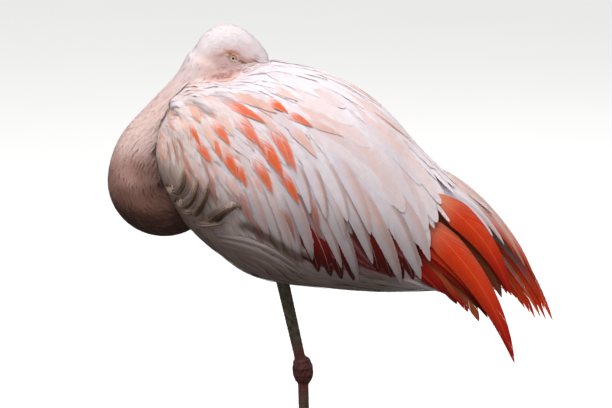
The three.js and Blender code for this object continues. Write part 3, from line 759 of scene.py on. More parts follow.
class Coat:
    """Vanes of one piece of the coat, gathered and then made into one joined mesh."""

    def __init__(self, name, material, slot, patch=TUFT_PATCH):
        self.name, self.material, self.slot, self.patch = name, material, slot, patch
        self.verts, self.faces, self.tints, self.maps, self.grain = [], [], [], [], []
        self.size = 0

    def add_grid(self, places, quads, tints, roots, local, grain):
        self.verts.append(places.reshape(-1, 3))
        self.faces.append(quads + self.size)
        self.tints.append(tints.reshape(-1, 3))
        self.maps.append((roots + local).reshape(-1, 2))
        self.grain.append(grain.reshape(-1, 2))
        self.size += len(places.reshape(-1, 3))

    def add(self, lines, outs, half, kind, colour, roots, seed, lay=None):
        """Vanes along centre lines; colour(t, b, luck) paints them, roots are their places on the map."""
        plan = PLANS[kind]
        drop = None if lay is None else edge_drop(lay, lines, outs, half)
        places, t, b, luck = vane_points(lines, outs, half, plan, seed, drop)
        count = len(lines)
        ids = np.arange(places[..., 0].size).reshape(t.shape)
        near, far = ids[..., 0, :], ids[..., 1, :]
        quads = np.stack([near[..., :-1], far[..., :-1], far[..., 1:], near[..., 1:]], -1)
        quads[:, 0] = quads[:, 0, ..., ::-1]
        local = np.stack([b, t * 2 - 1], -1) * self.patch
        spot = roots.reshape(count, 1, 1, 1, 1, 2)
        grain = np.stack([b, t + np.arange(count).reshape(-1, 1, 1, 1, 1)], -1)
        self.add_grid(places, quads.reshape(-1, 4), colour(t, b, luck), spot, local, grain)
        if plan.quill:
            places, t = quill_points(lines, outs, plan)
            ids = np.arange(places[..., 0].size).reshape(places.shape[:3])
            a, c = ids[:, :-1, :-1], ids[:, 1:, :-1]
            d, e = ids[:, 1:, 1:], ids[:, :-1, 1:]
            quads = np.stack([a, e, d, c], -1).reshape(-1, 4)
            t = np.broadcast_to(t[..., None], places.shape[:3])
            middle = np.zeros_like(t)
            tint = mix(colour(t, middle, np.full(t.shape, 0.5)), plan.shaft, np.full(t.shape, plan.pale))
            local = np.stack([middle, t * 2 - 1], -1) * self.patch
            grain = np.stack([middle, t], -1)
            self.add_grid(places, quads, tint, roots.reshape(count, 1, 1, 2), local, grain)

    def make(self):
        points = np.vstack(self.verts)
        piece = mesh_object(self.name, points, np.vstack(self.faces))
        # Feathers of the body take the painted shade of the belly and of the hollow over the flank
        shade = painted_shade(points) if self.material == FEATHER else 1
        dress(piece, np.clip(np.vstack(self.tints) * shade, DARKEST, LIGHTEST), self.material)
        corner_map(piece, "OFBake", np.vstack(self.maps))
        corner_map(piece, "Grain", np.vstack(self.grain))
        piece.data.uv_layers["OFBake"].active = True
        return piece


def map_place(along, angle):
    """Place on the coat's map of points so far along a part, 0 to 1, and at an angle round it."""
    return np.stack([np.clip(along, 0.01, 0.99), 0.5 + angle / (2 * math.pi) * 0.97], -1)


def body_spot(points):
    return map_place((points[:, 0] + 180) / 420, body_angle(points[:, 0], points[:, 2], side_of(points)))


def neck_spot(points):
    _, nearest = distance_to_neck(points)
    x, y, z, heading, _, gone = NECK[nearest].T
    up = -(points[:, 0] - x) * np.sin(heading) + (points[:, 2] - z) * np.cos(heading)
    return map_place(0.01 + 0.98 * gone / NECK[-1, 5], np.arctan2(points[:, 1] - y, up))


def head_spot(points):
    row = row_at(HEAD, points[:, 0])
    up = points[:, 2] - (row[:, 1] + row[:, 2]) / 2
    along = (points[:, 0] - HEAD[0, 0] + 4) / (HEAD[-1, 0] - HEAD[0, 0] + 8)
    return map_place(along, np.arctan2(points[:, 1] - HEAD_SIDE, up))


# ---------------------------------------------------------------- markings

def soft_noise(points, scale, seed):
    """Smooth noise about 0, roughly -1 to 1, from a few crossing waves."""
    draw = np.random.default_rng(seed)
    total = np.zeros(points.shape[:-1])
    for _ in range(7):
        way = unit(draw.normal(size=points.shape[-1]))
        total += np.sin(points @ way * (2 * math.pi / scale) * draw.uniform(0.6, 1.6) + draw.uniform(0, 6.3))
    return total / 3.2


def streaks(points, seed):
    """Noise drawn out along the way the side feathers lie."""
    along, across = aligned(points[:, 0], points[:, 2], -56)
    return soft_noise(np.stack([along / 62, across / 15, points[:, 1] / 60], -1), 1.0, seed)


def roll_foot(points):
    """Salmon foot of each soft roll of the mantle, 0 to 1."""
    share = np.zeros(len(points))
    for fold in FOLDS:
        if fold[-1] > 0 and fold[1] >= 560:
            along, across = in_fold(points, fold)
            share += bell(along / 0.8, (across + 1.25) / 0.4)
    return np.clip(share, 0, 1)


def body_tint(points):
    """Ground colour of the body's plumage."""
    x, turn = points[:, 0], turn_of(points)
    wander = soft_noise(points, 45, 3)
    tint = mix(CREAM, WHITE, step_between(-150, -40, x + 18 * wander))
    tint = mix(tint, PINK, 0.55 * step_between(-0.2, 0.9, streaks(points, 4)))
    tint = mix(tint, LILAC, 0.45 * step_between(0.0, 1.0, streaks(points, 5)) * step_between(-110, -40, x))
    tint = mix(tint, WHITE, 0.75 * step_between(55, 25, turn))
    tint = mix(tint, CREAM, 0.8 * step_between(108, 135, turn))
    tint = mix(tint, BEIGE, 0.65 * step_between(-60, -140, x) * step_between(88, 116, turn))
    tint = mix(tint, SALMON, 0.6 * roll_foot(points))
    # Brown in the crease between neck and breast: painted shadow
    tint = mix(tint, BROWN, 0.7 * crease(points))
    red = step_between(0, 10, x) * step_between(112, 98, x) * step_between(93, 102, turn)
    red = red * step_between(140, 130, turn)
    return mix(tint, mix(RED, DARK_RED, np.clip(0.5 + 0.4 * wander, 0, 1)), red)


def flank_height(x):
    """Height of the upper edge of the flank's tuft."""
    return np.interp(x, (-106, -68, -40, -12), (419, 420, 403, 383))


def painted_shade(points):
    """Painted shade: what is left of the colours in the shade under the belly and the lower wing, and in the
    shadowed hollow over the flank.
    """
    x, turn = points[:, 0], turn_of(points)
    # Painted shade, growing down the side and under the belly
    low = 0.32 * step_between(88, 108, turn) + 0.44 * step_between(112, 156, turn)
    # Painted shadow in the hollow over the flank's tuft, where the wing overhangs it
    hollow = bell((points[:, 2] - flank_height(x) - 9) / 6)
    hollow = hollow * step_between(-88, -66, x) * step_between(16, -14, x)
    return mix(np.ones(3), SHADE_BROWN, np.clip(low * step_between(150, 80, x) + 0.85 * hollow, 0, 0.9))


def flush_share(points):
    """Share of salmon and orange in the coat of the shoulder and side."""
    x, turn = points[:, 0], turn_of(points)
    area = step_between(20, -70, x) * step_between(32, 52, turn) * step_between(118, 92, turn)
    return area * step_between(-0.45, 0.8, streaks(points, 6))


def neck_tint(points):
    high = points[:, 2] - 0.2 * points[:, 1]
    blotch = 10 * soft_noise(points, 40, 6)
    # Darker down the neck: a little of it the plumage's own pink brown, most of it painted shade under the
    # bulge
    tint = mix(NECK_MID, NECK_PALE, step_between(465, 545, high + blotch))
    tint = mix(tint, NECK_SHADE, 0.94 * step_between(500, 428, high + blotch))
    tint = mix(tint, CROWN, 0.5 * step_between(560, 610, points[:, 2]))
    tint = mix(tint, NECK_MID, 0.16 * step_between(0, 1, soft_noise(points, 7, 7)))
    # Darker in the crease against the breast: painted shadow
    return tint * (1 - 0.5 * crease(points))[:, None]


def lore_height(x):
    """Height of the line from the eye's front corner to the bill."""
    return np.interp(x, (-80, -73.5, -66, -58, -51), (609, 605.2, 602.2, 603.8, 605.5))


def head_tint(points):
    """Pale crown, pink cheeks, painted shadow of the brow in orange brown over the eye, and orange brown
    along the lore.
    """
    x, z = points[:, 0], points[:, 2]
    lateral = step_between(6, 12, np.abs(points[:, 1] - HEAD_SIDE))
    low = step_between(630, 606, z + 3 * soft_noise(points, 16, 8))
    tint = mix(CROWN, CHEEK, low * step_between(-48, -78, x) * step_between(-132, -112, x))
    tint = mix(tint, SALMON, 0.3 * step_between(600, 586, z) * step_between(-62, -80, x))
    dx, dz = x - EYE["x"], z - EYE["z"]
    over = bell((dx - 1.0) / 8.5, (dz - 6.3 + 0.025 * dx * dx) / 2.4)
    behind = bell((dx + 10) / 5.0, (dz - 2.8) / 2.2)
    front_corner = bell((dx - 7.5) / 2.4, (dz - 1.5) / 3)
    tint = mix(tint, CHEEK, 0.45 * bell((dx + 3) / 17, (dz - 5) / 10) * lateral)
    # The band over the eye is painted shadow of the brow
    tint = mix(tint, BROW, np.clip(0.95 * over + 0.4 * behind + 0.6 * front_corner, 0, 0.9) * lateral)
    front = step_between(-82, -77, x) * step_between(-50, -56, x)
    above = z - lore_height(x)
    for colour, strength, middle, reach in (
        (BROW, 0.5, 2.2, 2.4), (DARK_BROW, 0.9, 0, 0.8), (LORE_SKIN, 0.6, -2.0, 1.2),
    ):
        tint = mix(tint, colour, strength * front * bell((above - middle) / reach) * lateral)
    return tint


# ---------------------------------------------------------------- materials

class Look:
    """A material in the making: its shader, and the nodes that feed it."""

    def __init__(self, name, roughness, **sockets):
        self.material = bpy.data.materials.new(name)
        self.material.use_nodes = True
        self.nodes = self.material.node_tree.nodes
        self.link = self.material.node_tree.links.new
        self.inputs = self.nodes["Principled BSDF"].inputs
        self.fill(self.inputs, Roughness=roughness, **sockets)

    def fill(self, inputs, **values):
        for name, value in values.items():
            inputs[name.replace("_", " ")].default_value = value

    def node(self, kind, wires=(), **values):
        """A node with plain values in some sockets, and others fed by what the wires name."""
        node = self.nodes.new("ShaderNode" + kind)
        self.fill(node.inputs, **values)
        for socket, source in dict(wires).items():
            self.link(source, node.inputs[socket])
        return node

    def noise(self, scale, detail=3.0, stretch=(1, 1, 1), vector=None):
        """Noise on the piece's own axes or on another vector, stretched along its axes."""
        vector = vector or self.node("TexCoord").outputs["Object"]
        mapping = self.node("Mapping", {"Vector": vector}, Scale=stretch)
        noise = self.node("TexNoise", {"Vector": mapping.outputs["Vector"]}, Scale=scale, Detail=detail)
        return noise.outputs["Fac"]

    def spread(self, value, low, high):
        """The usual run of a noise, made to go from low to high."""
        node = self.node("MapRange", {"Value": value}, From_Min=0.3, From_Max=0.7, To_Min=low, To_Max=high)
        return node.outputs["Result"]

    def colour(self, *shades):
        """The painted colours, made lighter and darker by shades round 1."""
        node = self.node("Attribute")
        node.attribute_name = "Tint"
        colour = node.outputs["Color"]
        for shade in shades:
            node = self.node("VectorMath")
            node.operation = "SCALE"
            self.link(colour, node.inputs[0])
            self.link(shade, node.inputs["Scale"])
            colour = node.outputs["Vector"]
        self.link(colour, self.inputs["Base Color"])

    def bump(self, height, distance, strength):
        node = self.node("Bump", {"Height": height}, Strength=strength, Distance=distance * MM)
        self.link(node.outputs["Normal"], self.inputs["Normal"])


def feather_material(name, roughness, barb_scale, contrast, sheen=0.08):
    """Barbs as fine streaks across the vane, over the colours of the coat."""
    look = Look(name, roughness, Sheen_Weight=sheen, Sheen_Roughness=0.5, Specular_IOR_Level=0.2)
    grain = look.node("UVMap")
    grain.uv_map = "Grain"
    barbs = look.noise(barb_scale, 2, (0.12, 1, 1), grain.outputs["UV"])
    blotch = look.spread(look.noise(120), 0.96, 1.04)
    look.colour(look.spread(barbs, 1 - contrast, 1 + contrast), blotch)
    look.link(look.spread(barbs, roughness - 0.06, roughness + 0.08), look.inputs["Roughness"])
    look.bump(barbs, 0.25, 0.6)
    return look.material


def skin_material(name, roughness, scale, depth, contrast):
    """Grainy skin over painted colours."""
    look = Look(name, roughness, Specular_IOR_Level=0.35)
    grain = look.noise(scale, 5)
    look.colour(look.spread(grain, 1 - contrast, 1 + contrast))
    look.link(look.spread(grain, roughness - 0.1, roughness + 0.1), look.inputs["Roughness"])
    look.bump(grain, depth, 0.7)
    return look.material


FEATHER = feather_material("body feather", 0.6, 90, 0.05)
NECK_FEATHER = feather_material("neck feather", 0.7, 12, 0.05)
LOCK_FEATHER = feather_material("lock feather", 0.65, 40, 0.06)
PLUME = feather_material("plume", 0.5, 130, 0.12, 0.0)
BLACK_FEATHER = feather_material("black feather", 0.45, 120, 0.15, 0.1)
SKIN = skin_material("skin", 0.6, 900, 0.3, 0.06)
LEG = skin_material("leg skin", 0.5, 700, 0.25, 0.16)
BILL = skin_material("bill", 0.32, 260, 0.08, 0.06)
HORN = skin_material("claw", 0.35, 500, 0.05, 0.15)


# ---------------------------------------------------------------- skin

def add_skin(lay):
    """Skin over the trunk, the wings, the neck and the head, a little under the lay of the coat."""
    piece = flesh("skin", COAT_DEPTH, VOXEL_SKIN, smoothing=6, to_vent=True)
    points = points_of(piece.data)
    points += normals_of(piece.data) * (SKIN_FOLDS * fold_height(points))[:, None]
    for side in (-1, 1):
        eye = np.array([EYE["x"], HEAD_SIDE + side * (EYE["from_middle"] + 5), EYE["z"]])
        apart = np.linalg.norm((points - eye) * [1, 0.7, 1.15], axis=1)
        points[:, 1] -= side * SOCKET_DEPTH * bell(apart / SOCKET_REACH)
    found, out = lay.nearest(points)
    depth = np.sum((found - points) * out, -1)
    points -= out * np.clip(LEAST_DEPTH - depth, 0, 4)[:, None]
    put_points(piece.data, points)
    to_neck, _ = distance_to_neck(points)
    to_head = distance_to_sections(HEAD, points, HEAD_SIDE)
    to_body = distance_to_sections(PLUMAGE, points)
    # The skin carries the same painted shade as the body's feathers
    tint = body_tint(points) * painted_shade(points)
    neck = (np.abs(to_neck) < np.abs(to_body)) & (to_neck < 4)
    tint[neck] = neck_tint(points[neck])
    head = (to_head < 3) & (points[:, 2] > 575) & (points[:, 0] < -40) & (points[:, 0] > -131)
    head |= on_cheek_lap(points)
    tint[head] = head_tint(points[head])
    # Darker along the crease between neck and breast: painted shadow
    dress(piece, tint * (0.94 - 0.8 * crease(points))[:, None], SKIN)
    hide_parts("trunk", "neck_base", "neck_lower", "neck_middle", "neck_upper", "head",
                "wing_left", "wing_right")


def on_cheek_lap(points):
    x, z, long, deep = CHEEK_LAP
    high = points[:, 2] - LAP_SLOPE * np.abs(points[:, 1]) - z
    return ((points[:, 0] - x) / long) ** 2 + (high / deep) ** 2 < 1


BODY_PART, NECK_PART, HEAD_PART = 0, 1, 2


def part_of(points):
    """Which part each point of the outer surface belongs to."""
    to_neck, nearest = distance_to_neck(points)
    to_head = distance_to_sections(HEAD, points, HEAD_SIDE)
    to_body = np.abs(distance_to_sections(PLUMAGE, points))
    part = np.where(np.abs(to_neck) < to_body, NECK_PART, BODY_PART)
    on_head = (np.abs(to_head) < np.minimum(np.abs(to_neck), to_body) + 1.5) & (points[:, 2] > 578)
    on_head |= (to_head < 1.5) & (points[:, 2] > 582)
    on_head |= on_cheek_lap(points)
    on_head |= (NECK[nearest, 5] > NECK[-1, 5] - NAPE_LENGTH) & (part == NECK_PART)
    return np.where(on_head, HEAD_PART, part)


# ---------------------------------------------------------------- coat of neck and head

def plain_colour(tint, depth, edge):
    """Painter for small vanes: each its own tint, darker at the root and towards the edges."""
    def colour(t, b, luck):
        return per_vane(tint, t) * (1 - depth + depth * 1.3 * t - edge * np.abs(b))[..., None]
    return colour


def rising(low, top, power):
    """Height over the surface along a vane, from low at the root to its top at the tip."""
    return lambda t: low + (top - low) * t ** power


# Of the neck's and the head's small vanes: the spacing that their sizes go by, and for that spacing
# their length, swing, lift at the tip and half width; then how even their tones are, how deep the roots
# sit, how much darker roots and edges are, and the seed.
NECK_VANES = dict(unit=2.4, length=(9.5, 12.5), swing=0.09, top=(0.0, 0.12), half=(1.4, 1.9),
                  tone=(0.96, 1.03), sunk=0.45, shade=(0.06, 0.02), seed=21)
HEAD_VANES = dict(unit=1.0, length=(4.2, 5.4), swing=0.1, top=(0.02, 0.12), half=(0.6, 0.78),
                  tone=(0.97, 1.02), sunk=0.35, shade=(0.04, 0.015), seed=31)


def add_small_vanes(lay, name, plan, spacing, keep, lie, tint_of, spot_of):
    """Coat of small vanes on roots spread evenly."""
    roots = lay.scatter(spacing, keep, plan["seed"])
    count = len(roots)
    size = spacing(roots) / plan["unit"]
    draw = np.random.default_rng(plan["seed"] + 1)
    length = size * draw.uniform(*plan["length"], count)
    swing = draw.normal(0, plan["swing"], count)
    top = draw.uniform(*plan["top"], count) * size
    lines, outs = walked(lay, roots, lie, length, 3, swing, rising(-plan["sunk"], top, 0.7))
    tint = tint_of(roots) * draw.uniform(*plan["tone"], (count, 1))
    coat = Coat(name, NECK_FEATHER, "neck_feathers")
    coat.add(lines, outs, size * draw.uniform(*plan["half"], count), "tiny",
             plain_colour(tint, *plan["shade"]), spot_of(roots), plan["seed"] + 2)
    coat.make()


def add_neck_coat(lay):
    def spacing(points):
        return np.full(len(points), NECK_VANES["unit"])

    def keep(points):
        return (part_of(points) == NECK_PART) & (crease(points) < 0.4)

    add_small_vanes(lay, "neck_coat", NECK_VANES, spacing, keep, lie_on_neck, neck_tint, neck_spot)


def add_head_coat(lay):
    """Coat of the head, finest round the eyes, which it leaves free."""
    def spacing(points):
        apart = np.hypot(points[:, 0] - EYE["x"], points[:, 2] - EYE["z"])
        return 1.25 + 0.65 * step_between(9, 32, apart)

    def keep(points):
        apart = np.hypot(points[:, 0] - EYE["x"], (points[:, 2] - EYE["z"]) * 1.15)
        near_eye = (apart < EYE["opening"] + 2.0) & (np.abs(points[:, 1] - HEAD_SIDE) > 10)
        return (part_of(points) == HEAD_PART) & ~near_eye

    add_small_vanes(lay, "head_coat", HEAD_VANES, spacing, keep, lie_on_head, head_tint, head_spot)


# ---------------------------------------------------------------- coat of the body

LONGEST_TUFT, BODY_JOINTS = 84, 8  # joints along a tuft's centre line
SHOULDER_END, BODY_COAT_END = -88, 180  # x where the shoulder's short tufts end, and where all do


def body_scale(points):
    """Distances between roots, across and along the lie: small in front, long towards the rear."""
    turn = turn_of(points)
    front = step_between(-112, -172, points[:, 0])
    rear = step_between(-80, 20, points[:, 0])
    low = step_between(110, 135, turn)
    mantle = step_between(-30, -75, points[:, 0]) * step_between(84, 62, turn)
    wide = (6.6 + 2.4 * rear - 1.6 * front - 2.4 * mantle) * (1 - 0.15 * low)
    long = 15 + 20 * rear - 5 * front + 4 * step_between(50, 30, turn) - 7 * mantle
    return np.maximum(wide, 3.6), long


def flushed_vane(ground, hot, share, start):
    """Painter for vanes with a warm patch towards the tip, fringed by the pale ends of the barbs; the pale
    fringe is partly painted light against the shadows between vanes.
    """
    def colour(t, b, luck):
        base = per_vane(ground, t) * (0.95 + 0.05 * t)[..., None]
        # Pale edges: partly the barbs' own pale ends, partly painted light
        base = mix(base, WHITE, 0.3 * b * b)
        patch = step_between(start, start + 0.34, t + 0.3 * (luck - 0.5))
        patch = patch * step_between(1.5, 0.85, np.abs(b) + 0.5 * (luck - 0.3)) * (0.92 + 0.08 * luck)
        return mix(base, per_vane(hot, t), per_vane(share, t) * patch)
    return colour


def add_body_coat(lay):
    """Tufts over the shoulders, the sides, the breast and the belly, cut short where the neck begins."""
    def keep(points):
        x, turn = points[:, 0], turn_of(points)
        far = 112 + 26 * step_between(80, 40, turn) - 26 * step_between(96, 108, turn)
        there = ((x < far) | (turn > 134)) & (x < BODY_COAT_END) & (crease(points) < 0.45)
        return (part_of(points) == BODY_PART) & there

    roots = lay.scatter_along(lambda p: body_scale(p)[0], lambda p: body_scale(p)[1], keep, lie_on_body, 41)
    count = len(roots)
    draw = np.random.default_rng(42)
    wide, long = body_scale(roots)
    length = np.minimum(2.1 * long + 9, LONGEST_TUFT) * draw.uniform(0.9, 1.1, count)
    length *= 1 - 0.35 * step_between(60, 125, roots[:, 0])
    swing = draw.normal(0, 0.06, count)
    top = draw.uniform(0.15, 0.7, count) * step_between(0, 8, wide)
    lift = rising(-1.1, top * (1 - 0.55 * step_between(85, 55, turn_of(roots))), 0.8)
    lines, _ = walked(lay, roots, lie_on_body, length, BODY_JOINTS, swing, lift)
    on_body = part_of(lines[:, 1:].reshape(-1, 3)).reshape(count, BODY_JOINTS) == BODY_PART
    stays = np.cumprod(on_body, axis=1).mean(1)
    length = length * np.maximum(stays, 0.1)
    lines, outs = walked(lay, roots, lie_on_body, length, BODY_JOINTS, swing, lift)
    half = wide * draw.uniform(0.8, 1.0, count)
    middle = lines[:, 5]
    tint = body_tint(middle) * draw.uniform(0.95, 1.03, (count, 1))
    share = flush_share(middle) * draw.uniform(0.15, 1.0, count)
    warm = mix(SALMON, ORANGE, draw.random(count) * 0.55)
    in_front = roots[:, 0] < SHOULDER_END
    for side, tag in SIDES:
        for part, kind, there in (("shoulder", "short", in_front), ("side", "soft", ~in_front)):
            chosen = (side_of(roots) == side) & there & (stays > 0.2)
            coat = Coat(f"coat_{part}_{tag}", FEATHER, "body_feathers")
            painter = flushed_vane(tint[chosen], warm[chosen], share[chosen], 0.3)
            coat.add(lines[chosen], outs[chosen], half[chosen], kind, painter, body_spot(roots[chosen]), 43,
                     lay)
            coat.make()


# ---------------------------------------------------------------- long feathers placed one by one

# Root x, z, tip x, z, bend, lift, half width; they lie along the side of the plumage.
ORANGE_COVERTS = [
    (-108, 573, -46, 545, 2, 3.0, 6.5), (-52, 573, -22, 556, 1, 2.6, 6), (-32, 560, 6, 541, 1, 3.0, 5.5),
    (-114, 554, -87, 522, 1, 2.6, 6.5), (-138, 550, -120, 519, 1, 2.4, 3.6),
    (-132, 531, -107, 501, 1, 2.8, 5.5), (-114, 537, -96, 506, 1, 2.7, 5),
    (-106, 526, -78, 484, 3, 3.2, 7), (-86, 510, -68, 475, 1, 3.0, 5.5), (-92, 559, -50, 518, 2, 3.2, 7),
    (-68, 517, -39, 468, 2, 3.1, 7), (-63, 540, -27, 486, 2, 3.4, 8.5), (-53, 552, -19, 497, 3, 3.8, 5),
    (-44, 552, -13, 492, 3, 3.6, 5.5), (-40, 503, -10, 456, 3, 3.2, 6.5),
]
SALMON_COVERTS = [
    (-108, 562, -83, 531, 2, 2.2, 6), (-96, 494, -76, 462, 1, 2.4, 6), (-44, 584, -11, 568, 1, 2.4, 6),
    (-84, 577, -51, 561, 1, 2.4, 6.5), (-146, 556, -132, 527, 1, 1.8, 5),
    (-122, 552, -104, 516, 1, 2.0, 5.5), (-70, 572, -34, 556, 1, 2.2, 6),
    (-26, 545, 10, 508, 3, 2.4, 6.5), (-10, 549, 40, 530, 2, 2.2, 5), (-64, 560, -30, 532, 2, 2.4, 5.5),
    (-136, 566, -120, 545, 1, 1.8, 5),
]
# Narrow streaks in front.
STREAK_COVERTS = [
    (-156, 535, -145, 497, 1, 1.8, 2.4), (-149, 534, -139, 508, 1, 1.7, 2.4),
    (-147, 520, -127, 483, 1, 2.0, 3), (-130, 492, -118, 466, 1, 2.1, 2.6),
    (-115, 480, -102, 452, 1, 2.3, 3), (-161, 530, -155, 500, 1, 1.5, 2),
    (-124, 520, -108, 478, 1, 2.0, 2.6),
]
BACK_STREAKS = [(58, 562, 122, 507, 3, 2.2, 2.6), (30, 588, 84, 556, 3, 1.6, 3)]
RUST_COVERTS = [
    (-92, 486, -62, 430, 3, 2.6, 7), (-10, 488, 13, 416, 4, 2.8, 5), (-116, 500, -104, 462, 2, 2.0, 3.5),
    (-72, 462, -50, 398, 3, 2.2, 4), (-38, 470, -14, 410, 3, 2.2, 4),
]
GREATER_COVERTS = [
    (-96, 510, -62, 424, 4, 1.4, 8), (-84, 504, -44, 412, 4, 1.6, 8), (-72, 500, -29, 397, 5, 1.6, 8.5),
    (-60, 494, -16, 388, 5, 1.8, 8.5), (-48, 490, -8, 380, 6, 2.0, 9), (-34, 486, 5, 389, 6, 2.0, 8.5),
    (-18, 490, 38, 378, 7, 1.7, 7.5), (-4, 492, 57, 361, 8, 2.4, 9.5), (10, 494, 41, 416, 5, 3.0, 5.5),
    (14, 500, 73, 384, 7, 2.2, 9), (26, 508, 106, 358, 9, 3.2, 11), (46, 508, 128, 362, 9, 2.8, 12.5),
    (66, 506, 138, 384, 8, 2.2, 11), (-8, 512, 20, 440, 5, 2.6, 8), (2, 520, 44, 436, 6, 2.6, 9),
    (18, 524, 70, 420, 7, 2.8, 9.5), (-24, 512, 2, 446, 5, 2.4, 7.5),
]
SCAPULARS = [
    (-54, 597, 12, 579, 2, 0.5, 9.5), (-33, 591, 42, 559, 4, 0.6, 10.5), (-27, 578, 50, 541, 5, 0.7, 11),
    (-18, 567, 69, 517, 6, 0.8, 12), (-10, 553, 83, 485, 8, 1.0, 12), (0, 543, 97, 452, 9, 1.4, 13),
    (12, 558, 108, 443, 10, 2.0, 15), (40, 561, 127, 470, 8, 1.5, 12.5), (52, 560, 150, 447, 8, 2.8, 12),
    (36, 575, 140, 484, 8, 1.1, 12), (24, 583, 115, 516, 6, 0.8, 11.5), (0, 598, 84, 558, 4, 0.4, 12),
    (40, 583, 112, 527, 5, 0.6, 13), (66, 575, 160, 478, 6, 1.2, 9), (70, 570, 178, 456, 6, 2.0, 7.5),
    (84, 560, 196, 441, 6, 1.8, 6.5), (98, 552, 208, 430, 5, 1.6, 6), (112, 530, 214, 424, 4, 1.4, 5),
    (60, 582, 150, 500, 5, 0.9, 8),
]
TERTIAL_BASES = [
    (60, 545, 124, 432, 6, 1.2, 13), (74, 532, 134, 420, 6, 1.4, 13), (88, 520, 146, 428, 5, 1.3, 12),
    (70, 515, 126, 404, 6, 1.3, 13), (54, 520, 112, 408, 7, 1.2, 13), (84, 500, 136, 398, 6, 1.2, 12),
    (78, 544, 144, 482, 3, 0.4, 13), (94, 532, 160, 466, 3, 0.5, 13), (102, 527, 166, 461, 3, 0.4, 11),
]
UNDER_COVERTS = [
    (-10, 432, 12, 372, 3, 0.9, 8), (2, 434, 26, 366, 3, 1.0, 8.5), (14, 432, 38, 362, 3, 0.8, 8.5),
    (28, 428, 52, 360, 3, 0.7, 8), (54, 440, 80, 372, 4, 0.9, 8), (64, 436, 94, 364, 4, 1.0, 8.5),
    (76, 430, 108, 360, 4, 0.9, 8.5), (90, 420, 120, 360, 4, 0.8, 8),
]
FLANK_TUFT = [
    (-114, 412, -12, 382, 13, 5.4, 5.5), (-114, 406, -20, 376, 12, 5.0, 7.5),
    (-112, 400, -8, 372, 11, 4.6, 9), (-104, 398, -24, 364, 9, 3.6, 9), (-96, 394, -6, 361, 8, 3.0, 9),
    (-90, 392, -40, 360, 5, 2.2, 8), (-82, 388, -16, 355, 4, 2.2, 8),
]
# Breast feathers curled up in locks at the shoulder's edge: points x, z and height off the side; half width.
CURLS = [
    ([(-160, 474, -2), (-152, 467, 3), (-143, 470, 6), (-138, 482, 6), (-139, 500, 2)], 5.5),
    ([(-152, 456, -2), (-142, 452, 3), (-132, 458, 6), (-126, 470, 6), (-125, 484, 2)], 5.5),
    ([(-135, 438, -2), (-127, 444, 4), (-119, 456, 7), (-113, 470, 6), (-109, 488, 2)], 6),
    ([(-121, 425, -2), (-108, 437, 4), (-95, 449, 6), (-85, 456, 7), (-77, 455, 6), (-73, 445, 2)], 7),
    ([(-130, 424, -2), (-117, 428, 3), (-103, 431, 4), (-90, 434, 1)], 5),
    ([(-147, 444, -2), (-136, 443, 3), (-124, 447, 4), (-116, 452, 1)], 4.5),
]
STRANDS = 15  # in each lock
SIDE_JOINTS, FREE_JOINTS, LOCK_JOINTS = 14, 16, 16  # along each centre line
ROOT_SUNK = 1.2  # depth of a long feather's root under the lay


def side_lines(lay, rows, side):
    """Centre lines along the plumage for rows of root x, z and tip x, z, bend and lift at the tip."""
    x0, z0, x1, z1, bend, lift = rows[:, :6].T[:, :, None]
    t = np.linspace(0, 1, SIDE_JOINTS + 1)
    long = np.hypot(x1 - x0, z1 - z0)
    x = x0 + (x1 - x0) * t + bend * 4 * t * (1 - t) * (z0 - z1) / long
    z = z0 + (z1 - z0) * t + bend * 4 * t * (1 - t) * (x1 - x0) / long
    angle = body_angle(x, z, side)
    wanted = body_point(x, angle)
    lift = lift * (1 - 0.4 * step_between(88, 62, np.abs(np.degrees(angle))))
    found, out = (v.reshape(wanted.shape) for v in lay.nearest(wanted.reshape(-1, 3)))
    return found + out * rising(-ROOT_SUNK, lift, 0.6)(t)[..., None], out


def patches(count):
    """Places on the map for big vanes, side by side, and half the size of each."""
    columns = math.ceil(math.sqrt(count))
    order = np.arange(count)
    spots = np.stack([(order % columns + 0.5) / columns, (order // columns + 0.5) / columns], -1)
    return spots, 0.45 / columns


def placed_coat(name, material, slot, groups, lines_of, seed, lay=None):
    """One piece of placed vanes; groups hold rows, a kind and a painter that is given the lines."""
    spots, patch = patches(sum(len(rows) for rows, _, _ in groups))
    coat = Coat(name, material, slot, patch)
    done = 0
    for rows, kind, painter in groups:
        rows = np.array(rows, float)
        lines, outs = lines_of(rows)
        own = spots[done:done + len(rows)]
        coat.add(lines, outs, rows[:, 6], kind, painter(lines), own, seed + done, lay)
        done += len(rows)
    return coat.make()


def add_placed(lay, name, groups, seed):
    """Vanes laid along the plumage on both sides, each side a piece."""
    for side, tag in SIDES:
        placed_coat(f"{name}_{tag}", FEATHER, "body_feathers", groups,
                    lambda rows: side_lines(lay, rows, side), seed + side, lay)


def each(values, t):
    """The values in turn, one for each vane."""
    return per_vane(np.resize(values, len(t)), t)


def flushed(hot, strength, start):
    """Coverts the colour of their place, with a warm outer part."""
    def painter(lines):
        share = strength * (0.95 + 0.05 * np.sin(np.arange(len(lines)) * 1.9))
        ground = body_tint(lines[:, lines.shape[1] // 2])
        return flushed_vane(ground, np.tile(hot, (len(lines), 1)), share, start)
    return painter


def same(colour):
    """Painter that needs no places."""
    return lambda lines: colour


